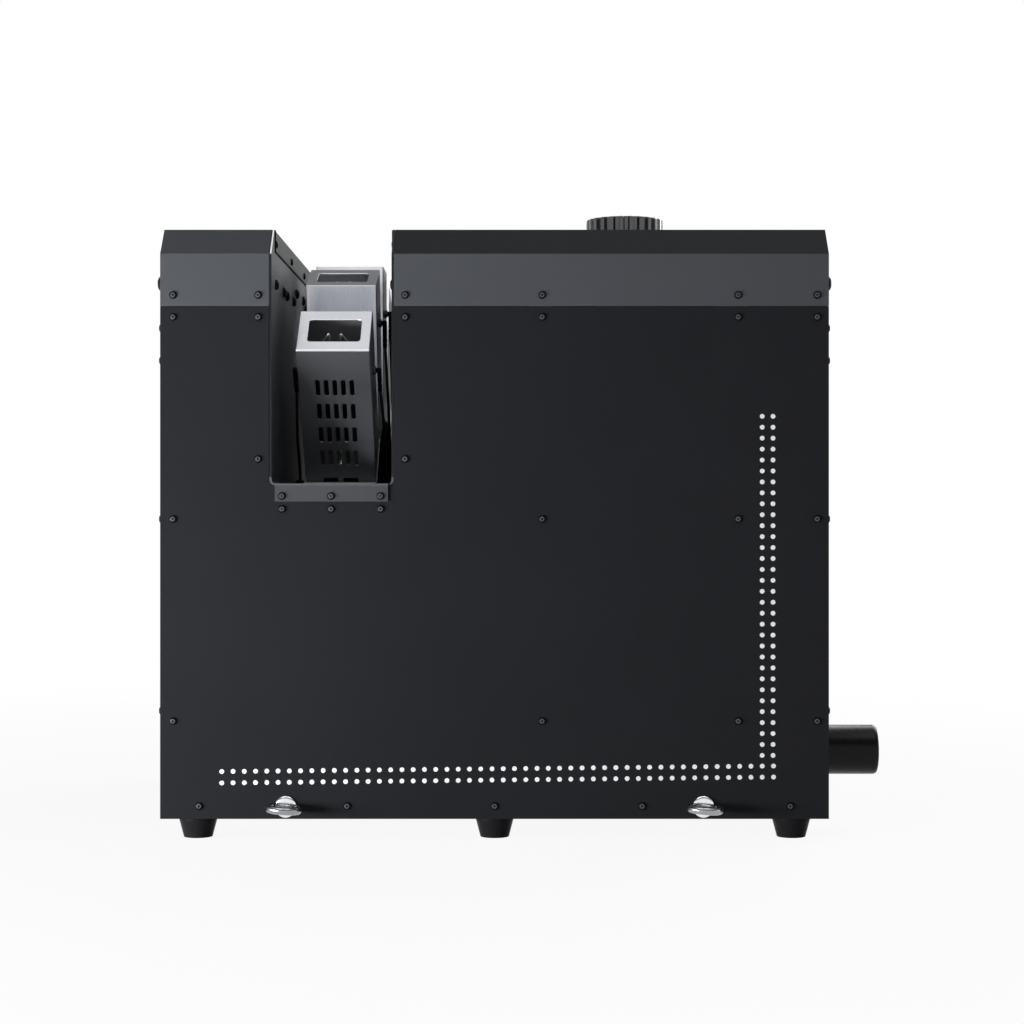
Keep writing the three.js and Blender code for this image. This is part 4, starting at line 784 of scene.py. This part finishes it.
def add_electrode(index, side):
    matrix = local_frame(index)
    tilt = fan_tilt(index)
    level = REACH - 49
    sleeve_out = side * 42.2
    lead_out = side * 45.1
    lead_floor = FLOOR - 0.3
    outward = matrix @ facing(0, 0, level, (side, 0, 0))
    shape = Shape()
    shape.lathe(
        [(1.0, 28.6), (2.6, 28.6), (3.2, 29.2), (3.2, 30.4), (4, 30.6), (4, 36.4), (1.0, 36.4)],
        outward, 28, closed=True,
    )
    shape.lathe(
        [(2.2, 36.2), (4.2, 36.2), (4.5, 36.6), (4.5, 38.5), (4.2, 38.9), (2.2, 38.9)],
        outward, 6, 1, closed=True,
    )
    shape.lathe(
        [(0, 38.7), (2.4, 38.7), (2.7, 39.1), (2.8, 41), (2.7, 42.4), (2.2, 43.6), (1.2, 44.2)]
        + [(0, 44.2)],
        outward, 36, 2,
    )
    shape.lathe(
        [(0, 3.0), (1.5, 2.8), (2.1, 2.0), (2.3, 1.0), (2.3, -14), (1.9, -15.5), (1.9, -16.5)]
        + [(2.3, -17.5), (2.3, -19.5), (1.9, -21), (1.9, -22), (2.2, -23), (2.0, -26)]
        + [(1.6, -26.5), (0, -26.5)],
        matrix @ Matrix.Translation((sleeve_out, 0, level)), 32, 2,
    )
    bend = (lead_floor + 28 - HUB) / math.cos(tilt)
    start = matrix @ Vector((lead_out, 0, bend))
    end_y = MIDDLE + (start.y - MIDDLE - (lead_floor - HUB) * math.tan(tilt)) / 2
    end_x = SLOT + lead_out
    route = [
        matrix @ Vector((sleeve_out, 0, level - 24)),
        matrix @ Vector((lead_out, 0, bend + 28)),
        start,
        Vector((end_x, end_y, FLOOR + 7.5)),
        Vector((end_x, end_y, FLOOR + 1.2)),
    ]
    shape.tube(curve_through(route, 12), 1.5, 18, 3)
    shape.lathe(
        [(1.9, 0.1), (6.5, 0.1), (6.5, 2.2), (6.0, 2.8), (4.6, 3.1), (4.3, 4.6), (3.9, 5.0)]
        + [(1.9, 5.0)],
        Matrix.Translation((end_x, end_y, FLOOR)), 32, 2, closed=True,
    )
    begin = Vector((side * 34.6, 0, level))
    peak = Vector((side * 5.6, 0, REACH - 3))
    tip = Vector((side * 5.2, 0, REACH - 17))
    before = peak.lerp(begin, 4 / (peak - begin).length)
    after = peak.lerp(tip, 4 / (peak - tip).length)
    wire = [begin, before]
    for i in range(1, 8):
        t = i / 8
        wire.append(before.lerp(peak, t).lerp(peak.lerp(after, t), t))
    wire += [after, tip]
    shape.tube([matrix @ point for point in wire], 0.75, 14, 4)
    word = "left" if side < 0 else "right"
    shape.piece(
        f"spark_electrode_{index + 1}_{word}", "machine", "insulator",
        [ceramic, steel_and_highlight, rubber, lead_black, wire_steel], [f"electrode_{index + 1}_{word}"],
    )


for i in range(COUNT):
    add_electrode(i, -1)
    add_electrode(i, 1)


# Burner jets

JET_BASE = 62.3
for i in range(COUNT):
    matrix = local_frame(i)
    jet = Shape()
    jet.lathe(
        [(1.2, SEAT + 22), (1.2, SEAT + 27.6), (1.5, SEAT + 28), (2.7, SEAT + 28), (3, SEAT + 27.6)]
        + [(6.4, SEAT + 18.8), (7, SEAT + 18), (7, SEAT + 5), (9.4, SEAT + 5), (10, SEAT + 4.4)]
        + [(10, SEAT + 0.6), (9.4, SEAT), (3, SEAT), (3, JET_BASE + 12), (0, JET_BASE + 12)],
        matrix, 40,
    )
    jet.lathe([(0, SEAT + 22), (1.2, SEAT + 22)], matrix, 40)
    jet.lathe(
        [(0, JET_BASE), (5.2, JET_BASE), (6, JET_BASE + 0.8), (6, JET_BASE + 11.2)]
        + [(5.2, JET_BASE + 12), (0, JET_BASE + 12)],
        matrix, 6,
    )
    jet.piece(f"jet_{i + 1}", "machine", "steel", [nickel], [f"burner_jet_{i + 1}"])


# Rear controls

low, high = span("emergency_stop")
stop_x, _, stop_z = middle_of("emergency_stop")
head_low = high.y - 14
stop = Shape()
stop.lathe(
    [(0, low.y), (8, low.y), (8, head_low), (18.6, head_low), (19.7, head_low + 0.8)]
    + [(20, head_low + 2.2), (20, high.y - 7), (19.6, high.y - 5), (18.2, high.y - 2.8)]
    + [(15.6, high.y - 1.2), (11, high.y - 0.3), (5, high.y), (0, high.y)],
    facing(stop_x, 0, stop_z, (0, 1, 0)), 72,
)
stop.piece("stop_mushroom", "stop", "red_plastic", [red_plastic], ["emergency_stop"])

for i in range(4):
    name = f"menu_button_{i + 1}"
    low, high = span(name)
    x, _, z = middle_of(name)
    button = Shape()
    button.lathe(
        [(0, low.y), (7, low.y), (7, low.y + 1.5), (5.5, low.y + 1.5), (5.5, high.y - 1.1)]
        + arc(0.9, 0, 80, 4, (4.6, high.y - 1.0))
        + [(3.6, high.y - 0.3), (2, high.y - 0.5), (0, high.y - 0.6)],
        facing(x, 0, z, (0, 1, 0)), 48,
    )
    button.piece(f"menu_key_{i + 1}", f"button_{i + 1}", "black_plastic", [satin_black], [name])


# Black hem round the hanging flange of each lid, standing for its shaded edges as painted shade,
# and a painted highlight along the slot edge of the left lid's chamfers

flange_shade = Shape()
lid_top = span("left_lid")[1].z
flange_low = lid_top - 21
flange_inset = 30
hem_half = 0.8
for x, into in ((WALL_LEFT, 1), (WALL_RIGHT, -1)):
    near, far = sorted((x - into * 0.2, x + into * 1.2))
    first = FRONT + flange_inset
    last = REAR - flange_inset
    flange_shade.bar((near, first - hem_half, flange_low - 1.0), (far, last + hem_half, flange_low + 0.7))
    flange_shade.bar((near, first - hem_half, flange_low), (far, first + hem_half, lid_top - 0.1))
    flange_shade.bar((near, last - hem_half, flange_low), (far, last + hem_half, lid_top - 0.1))
edges = Shape()
chamfer_drop = 26.6
chamfer_run = 26.46
for face, inward in ((FRONT, 1), (REAR, -1)):
    rim = [
        (face - inward * 0.14, lid_top - chamfer_drop),
        (face + inward * chamfer_run, lid_top),
        (face + inward * chamfer_run, lid_top - 0.8),
        (face + inward * 0.5, lid_top - chamfer_drop),
    ]
    edges.prism(rim, WALL_LEFT - 1.5, WALL_LEFT - 0.1, ACROSS)
flange_shade.piece("lid_flange_shade", "machine", "black_plastic", [black_and_painted_shade], bevel=0.25)
edges.piece("lid_edge_highlights", "machine", "steel", [edge_highlight])

# Black clips at the foot of each chimney's front and back

clips = Shape()
for i in range(COUNT):
    for facing_out in (-1, 1):
        foot = Matrix.Translation((0, facing_out * (HALF_DEPTH - 0.05), SEAT))
        place = local_frame(i) @ foot @ Matrix.Rotation(math.pi / 2, 4, "X")
        low, high = (-0.1, 1.1) if facing_out < 0 else (-1.1, 0.1)
        for x in (-10.2, 10.2):
            outline = [(x - 7.4, -1), (x + 7.4, -1)]
            outline += arc(1.6, 0, 90, 3, (x + 5.8, 2.8)) + arc(1.6, 90, 180, 3, (x - 5.8, 2.8))
            clips.prism(outline, low, high, place)
clips.piece("chimney_clips", "machine", "black_plastic", [black_and_painted_shade], bevel=0.2)


# Rear sockets: their contacts, latches and flange screws

def rear_place(spot, y):
    """A place at the spot's X and Z: X to the rear viewer's right, Y up, Z out of the machine."""
    turned = Matrix(((-1, 0, 0, 0), (0, 0, 1, 0), (0, 1, 0, 0), (0, 0, 0, 1)))
    return Matrix.Translation((spot[0], y, spot[1])) @ turned


flange_screws = Shape()
latches = Shape()
latch = [(-2.6, 11.2), (2.6, 11.2), (2.6, 13.6), (1.8, 14.4), (-1.8, 14.4), (-2.6, 13.6)]
for spot in (DATA_INLET, DATA_OUTLET, POWER_INLET):
    flange = rear_place(spot, FLANGE_FACE)
    for across, up in ((9.6, -12.2), (-9.6, 12.2)):
        place = flange @ Matrix.Translation((across, up, 0))
        socket_head(flange_screws, place, *FLANGE_HEAD, steps=24)
    latches.prism(latch, -0.05, 1.2, flange)
flange_screws.piece("socket_screws", "machine", "steel", [oxide, steel_and_highlight])
latches.piece("socket_latches", "machine", "steel", [nickel], bevel=0.25)


def contact_places(place, radius):
    """The five contacts of a data socket, evenly round a circle."""
    for k in range(5):
        angle = math.radians(90 + 72 * k + 36)
        offset = (radius * math.cos(angle), radius * math.sin(angle), 0)
        yield place @ Matrix.Translation(offset)


pins = Shape()
place = rear_place(DATA_INLET, CUP_FLOOR)
pins.lathe([(0, 0), (9.2, 0), (9.2, 2.2), (8.6, 2.6), (0, 2.6)], place, 40)
pins.prism([(-1.4, -9.1), (1.4, -9.1), (1.4, -7.4), (-1.4, -7.4)], 2.0, 17, place)
for contact in contact_places(place, 5.2):
    pins.lathe([(0, 2.4), (0.95, 2.4), (0.95, 14.2), (0.6, 15), (0, 15.2)], contact, 14, 1)
pins.piece("data_inlet_pins", "machine", "black_plastic", [satin_black, brass])

holes = Shape()
place = rear_place(DATA_OUTLET, CUP_FLOOR)
holes.lathe([(0, 0), (7.3, 0), (7.3, 19), (6.7, 19.6), (0, 19.6)], place, 40)
for contact in contact_places(place, 4.5):
    sleeve = [(1.15, 19.5), (1.6, 19.5), (1.6, 19.8), (1.15, 19.8)]
    holes.lathe(sleeve, contact, 18, 1, closed=True)
    # A dark disc in each contact sleeve: painted shade for the hole.
    holes.lathe([(0, 19.5), (1.15, 19.5), (1.15, 19.65), (0, 19.65)], contact, 18, 2)
holes.piece("data_outlet_insert", "machine", "black_plastic", [satin_black, brass, black_and_painted_shade])

blades = Shape()
place = rear_place(POWER_INLET, CUP_FLOOR)
blades.lathe(
    [(0, 0), (9.2, 0), (9.2, 2.2), (5.4, 2.4), (5.4, 16), (4.8, 16.6), (0, 16.6)], place, 40)
for k in range(3):
    turned = place @ Matrix.Rotation(math.radians(90 + 120 * k), 4, "Z")
    blades.prism([(5.2, -1.5), (6.1, -1.5), (6.1, 1.5), (5.2, 1.5)], 2.2, 13.5, turned, 1)
blades.piece("power_inlet_insert", "machine", "black_plastic", [satin_black, nickel])

# Printed marks: arrows and a ring over the menu buttons, a bar and a ring on the rocker, and the
# ring round the stop

marks = Shape()
mark_height = 420.5
arrow = [(-2.0, -1.6), (2.0, -1.6), (0, 1.9)]
for i, turn in ((3, math.pi / 2), (2, 0), (1, math.pi)):
    spot = (middle_of(f"menu_button_{i + 1}").x, mark_height)
    place = rear_place(spot, PLATE_FACE) @ Matrix.Rotation(turn, 4, "Z")
    marks.prism(arrow, PRINT_IN, PRINT_OUT, place)
spot = (middle_of("menu_button_1").x, mark_height)
marks.lathe(
    [(1.2, PRINT_IN), (1.9, PRINT_IN), (1.9, PRINT_OUT), (1.2, PRINT_OUT)],
    rear_place(spot, PLATE_FACE), 28, closed=True,
)
marks.piece("menu_marks", "machine", "display_glass", [print_white])

# The rocker's face is a shallow V, from 3 mm out at its middle to 2 mm more at 13 mm from there
signs = Shape()
pivot = Matrix.Translation((ROCKER[0], 279.9, ROCKER[1]))
rocker = pivot @ Matrix.Rotation(math.radians(8), 4, "X")
lean = math.atan2(2, 13)
mark_at = 6.8
out = 3 + 2 * mark_at / 13
upper = rocker @ rear_place((0, mark_at), out) @ Matrix.Rotation(lean, 4, "X")
lower = rocker @ rear_place((0, -mark_at), out) @ Matrix.Rotation(-lean, 4, "X")
sign_in = -0.03
sign_out = 0.1
bar = [(-0.45, -2.4), (0.45, -2.4), (0.45, 2.4), (-0.45, 2.4)]
signs.prism(bar, sign_in, sign_out, upper)
signs.lathe(
    [(1.7, sign_in), (2.5, sign_in), (2.5, sign_out), (1.7, sign_out)], lower, 32, closed=True)
signs.piece("rocker_marks", "rocker", "display_glass", [print_white])

ring = Shape()
ring.lathe(
    [(22.5, PRINT_IN), (27.5, PRINT_IN), (27.5, PRINT_OUT), (22.5, PRINT_OUT)],
    rear_place((stop_x, stop_z), PLATE_FACE), 72, closed=True,
)
ring.piece("stop_ring", "machine", "display_glass", [print_yellow])

# Screws on the front

front_places = []
LID_ROW = 509.1
STRIP_ROW = 313.8
BELOW_STRIP = 301.2
for x in (-312.4, -229.8, -87.0, 46.2, 236.6, 313.3):
    front_places.append((x, LID_ROW))
    front_places.append((x, 487.7))
for x in (-229.8, -87.0):
    front_places.append((x, 349.8))
for x in (-312.4, 46.2, 236.6, 313.3):
    front_places.append((x, 291.5))
    front_places.append((x, 95.2))
for x in (-287.1, -143.3, 0, 143.3, 287.1):
    front_places.append((x, 12.6))
for x in STRIP_SCREWS:
    front_places.append((x, BELOW_STRIP))
screws = Shape()
for i, (x, z) in enumerate(front_places):
    socket_head(screws, facing(CENTRE + x, FRONT, UNDER + z, (0, -1, 0), i * 2.4), *HEAD)
strip_face = span("slot_liner")[0].y
for i, x in enumerate(STRIP_SCREWS):
    place = facing(CENTRE + x, strip_face, UNDER + STRIP_ROW, (0, -1, 0), i * 1.9)
    socket_head(screws, place, *HEAD)
screws.piece("front_screws", "machine", "steel", [oxide, steel_and_highlight])

# Screws on the rear, where the control plate leaves room, and on the control plate

screws = Shape()
rear_places = [(x, z) for x, z in front_places if z != BELOW_STRIP]
control_low, control_high = span("control_plate")
room = 8
for i, (x, z) in enumerate(rear_places):
    row_x = CENTRE + x
    row_z = UNDER + z
    in_width = control_low.x - room < row_x < control_high.x + room
    in_height = control_low.z - room < row_z < control_high.z + room
    if not (in_width and in_height):
        socket_head(screws, facing(row_x, REAR, row_z, (0, 1, 0), i * 1.7), *HEAD)
strip_rear = span("slot_liner")[1].y
for i, x in enumerate(STRIP_SCREWS):
    place = facing(CENTRE + x, strip_rear, UNDER + STRIP_ROW, (0, 1, 0), i * 2.3)
    socket_head(screws, place, *HEAD)
lowered = (control_low.z + control_high.z) / 2 - 20
corner_gap = 7
for x in (control_low.x + corner_gap, control_high.x - corner_gap):
    for z in (control_low.z + corner_gap, control_high.z - corner_gap, lowered):
        socket_head(screws, facing(x, PLATE_FACE, z, (0, 1, 0), x), *PLATE_HEAD)
screws.piece("rear_screws", "machine", "steel", [oxide, steel_and_highlight])

# Lid flange screws and the bolts through the slot walls, as depths from the front and heights

flange_screw_depths = (41, 192, 333, 509)
flange_row = 563
wall_bolts = (
    (38, 523), (111, 523), (142, 522), (212, 523), (245, 534), (321, 534), (345, 526), (450, 523),
)
walls = ((WALL_LEFT, 1), (WALL_RIGHT, -1))
bolts = Shape()
for depth in flange_screw_depths:
    for x, direction in walls:
        place = facing(x, FRONT + depth, UNDER + flange_row, (direction, 0, 0), depth)
        socket_head(bolts, place, *HEAD)
for depth, z in wall_bolts:
    for x, direction in walls:
        place = facing(x, FRONT + depth, UNDER + z, (direction, 0, 0), depth)
        socket_head(bolts, place, *WALL_HEAD)
bolts.piece("slot_bolts", "machine", "steel", [oxide, oxide])

# Screws on the sides: near the front and rear edges of the side panels, and along the lid skirts

screws = Shape()
side_left = span("left_side_panel")[0].x
side_right = span("right_side_panel")[1].x
edge_gap = 9.5
for x, direction in ((side_left, -1), (side_right, 1)):
    for y in (FRONT + edge_gap, REAR - edge_gap):
        for z in (497.6, 466, 311.5, 124.5):
            socket_head(screws, facing(x, y, z, (direction, 0, 0), z), *HEAD)
for x, direction in ((LEFT, -1), (RIGHT, 1)):
    for y in (-180, -90, MIDDLE, 99, 189):
        socket_head(screws, facing(x, y, UNDER + LID_ROW, (direction, 0, 0), y), *HEAD)
screws.piece("side_screws", "machine", "steel", [oxide, steel_and_highlight])

# Printed dots: two columns at the right and two rows along the bottom

dots = Shape()
round_dot = arc(2.3, 0, 345, 23)
row_dots = 50
row_pitch = 10.94
column_dots = 32
column_pitch = 10.63
places = []
for k in range(row_dots):
    x = row_pitch * k - 265.0
    share = k / (row_dots - 1)
    places.append((x, 46.1 + 5.4 * share))
    places.append((x, 35.0 + 5.8 * share))
for j in range(column_dots):
    for x in (260.1, 270.6):
        places.append((x, 391.3 - column_pitch * j))
for x, z in places:
    place = facing(CENTRE + x, FRONT, UNDER + z, (0, -1, 0))
    dots.prism(round_dot, PRINT_IN, PRINT_OUT, place)
dots.piece("printed_dots", "machine", "display_glass", [print_white])


# Floor, world, lights and camera

def background_switch(tree):
    """1 for camera, glossy and transmission rays, else 0."""
    rays = tree.nodes.new("ShaderNodeLightPath").outputs
    value = arithmetic(tree, "MAXIMUM", rays["Is Camera Ray"], rays["Is Glossy Ray"])
    return arithmetic(tree, "MAXIMUM", value, rays["Is Transmission Ray"])


def join_shaders(tree, factor, lighting, shown, kind):
    """Mix the shader that lights with the one that is shown, into an output of that kind."""
    mix = tree.nodes.new("ShaderNodeMixShader")
    tree.links.new(factor, mix.inputs["Fac"])
    tree.links.new(lighting, mix.inputs[1])
    tree.links.new(shown, mix.inputs[2])
    tree.links.new(mix.outputs["Shader"], tree.nodes.new(kind).inputs["Surface"])


# The world lights dimly. Camera and gloss see white round the horizon, a dim band above it and
# white again overhead.
world = bpy.data.worlds.new("studio")
bpy.context.scene.world = world
world.use_nodes = True
tree = world.node_tree
tree.nodes.clear()
ambient = tree.nodes.new("ShaderNodeBackground")
ambient.inputs["Color"].default_value = (0.92, 0.96, 1.0, 1)
ambient.inputs["Strength"].default_value = 0.08
backdrop = tree.nodes.new("ShaderNodeBackground")
backdrop.inputs["Strength"].default_value = 1.0
direction = tree.nodes.new("ShaderNodeTexCoord").outputs["Generated"]
ramp = tree.nodes.new("ShaderNodeValToRGB")
for mark, position in zip(ramp.color_ramp.elements, (0.0, 1.0)):
    mark.position = position
    mark.color = (1, 1, 1, 1)
for position, level in ((0.34, 1.0), (0.46, 0.16), (0.70, 0.16), (0.83, 1.0)):
    ramp.color_ramp.elements.new(position).color = (level, level, level, 1)
tree.links.new(split_axes(tree, direction)["Z"], ramp.inputs["Fac"])
tree.links.new(ramp.outputs["Color"], backdrop.inputs["Color"])
join_shaders(
    tree, background_switch(tree), ambient.outputs["Background"], backdrop.outputs["Background"],
    "ShaderNodeOutputWorld")

# The floor keeps the object's shadow near the object and shows plain white further out.
material = bpy.data.materials.new("studio_floor")
material.use_nodes = True
tree = material.node_tree
tree.nodes.clear()
matt = tree.nodes.new("ShaderNodeBsdfDiffuse")
matt.inputs["Color"].default_value = (0.85, 0.85, 0.86, 1)
glow = tree.nodes.new("ShaderNodeEmission")
glow.inputs["Color"].default_value = (1, 1, 1, 1)
glow.inputs["Strength"].default_value = 1.0
away = tree.nodes.new("ShaderNodeVectorMath")
away.operation = "LENGTH"
tree.links.new(coordinates(tree), away.inputs[0])
share = spread(tree, away.outputs["Value"], 0.92, 1.0, 0.5, 2.0)
share.node.interpolation_type = "SMOOTHSTEP"
factor = arithmetic(tree, "MULTIPLY", share, background_switch(tree))
join_shaders(
    tree, factor, matt.outputs["BSDF"], glow.outputs["Emission"], "ShaderNodeOutputMaterial")
data = bpy.data.meshes.new("floor")
data.from_pydata([(-30, -30, 0), (30, -30, 0), (30, 30, 0), (-30, 30, 0)], [], [(0, 1, 2, 3)])
data.materials.append(material)
floor = bpy.data.objects.new("floor", data)
bpy.context.scene.collection.objects.link(floor)


def add_lamp(name, place, target, size, power, colour=(1, 1, 1)):
    data = bpy.data.lights.new(name, "AREA")
    data.shape = "RECTANGLE"
    data.size, data.size_y = size
    data.energy = power
    data.color = colour
    lamp = bpy.data.objects.new(name, data)
    lamp.location = place
    lamp.rotation_euler = (Vector(target) - Vector(place)).to_track_quat("-Z", "Y").to_euler()
    lamp.visible_camera = False
    bpy.context.scene.collection.objects.link(lamp)


add_lamp("key", (-1.2, -0.95, 0.1), (-0.05, -0.2, 0.23), (0.8, 0.2), 27, (0.97, 0.98, 1.0))
add_lamp("rear", (1.7, 1.9, 1.9), (0, 0.2, 0.4), (2.2, 2.2), 68)
add_lamp("right", (2.4, 0.4, 0.9), (0.2, 0.1, 0.3), (1.6, 1.6), 5)
add_lamp("top", (-0.8, -1.2, 2.2), (-0.1, 0, 0.4), (1.2, 1.2), 7)
add_lamp("strip", (0.6, -0.8, 2.3), (0.4, -0.17, 0.1), (0.9, 1.2), 4.5)

camera = bpy.data.cameras.new("camera")
camera.lens = 77.34
camera.sensor_width = 36
camera.clip_start = 0.05
camera.clip_end = 100
camera_object = bpy.data.objects.new("camera", camera)
camera_object.location = (-0.0125, -2.4079, 0.3183)
camera_object.rotation_euler = (math.radians(90), 0, 0)
bpy.context.scene.collection.objects.link(camera_object)
bpy.context.scene.camera = camera_object
bpy.context.scene.view_settings.view_transform = "Standard"
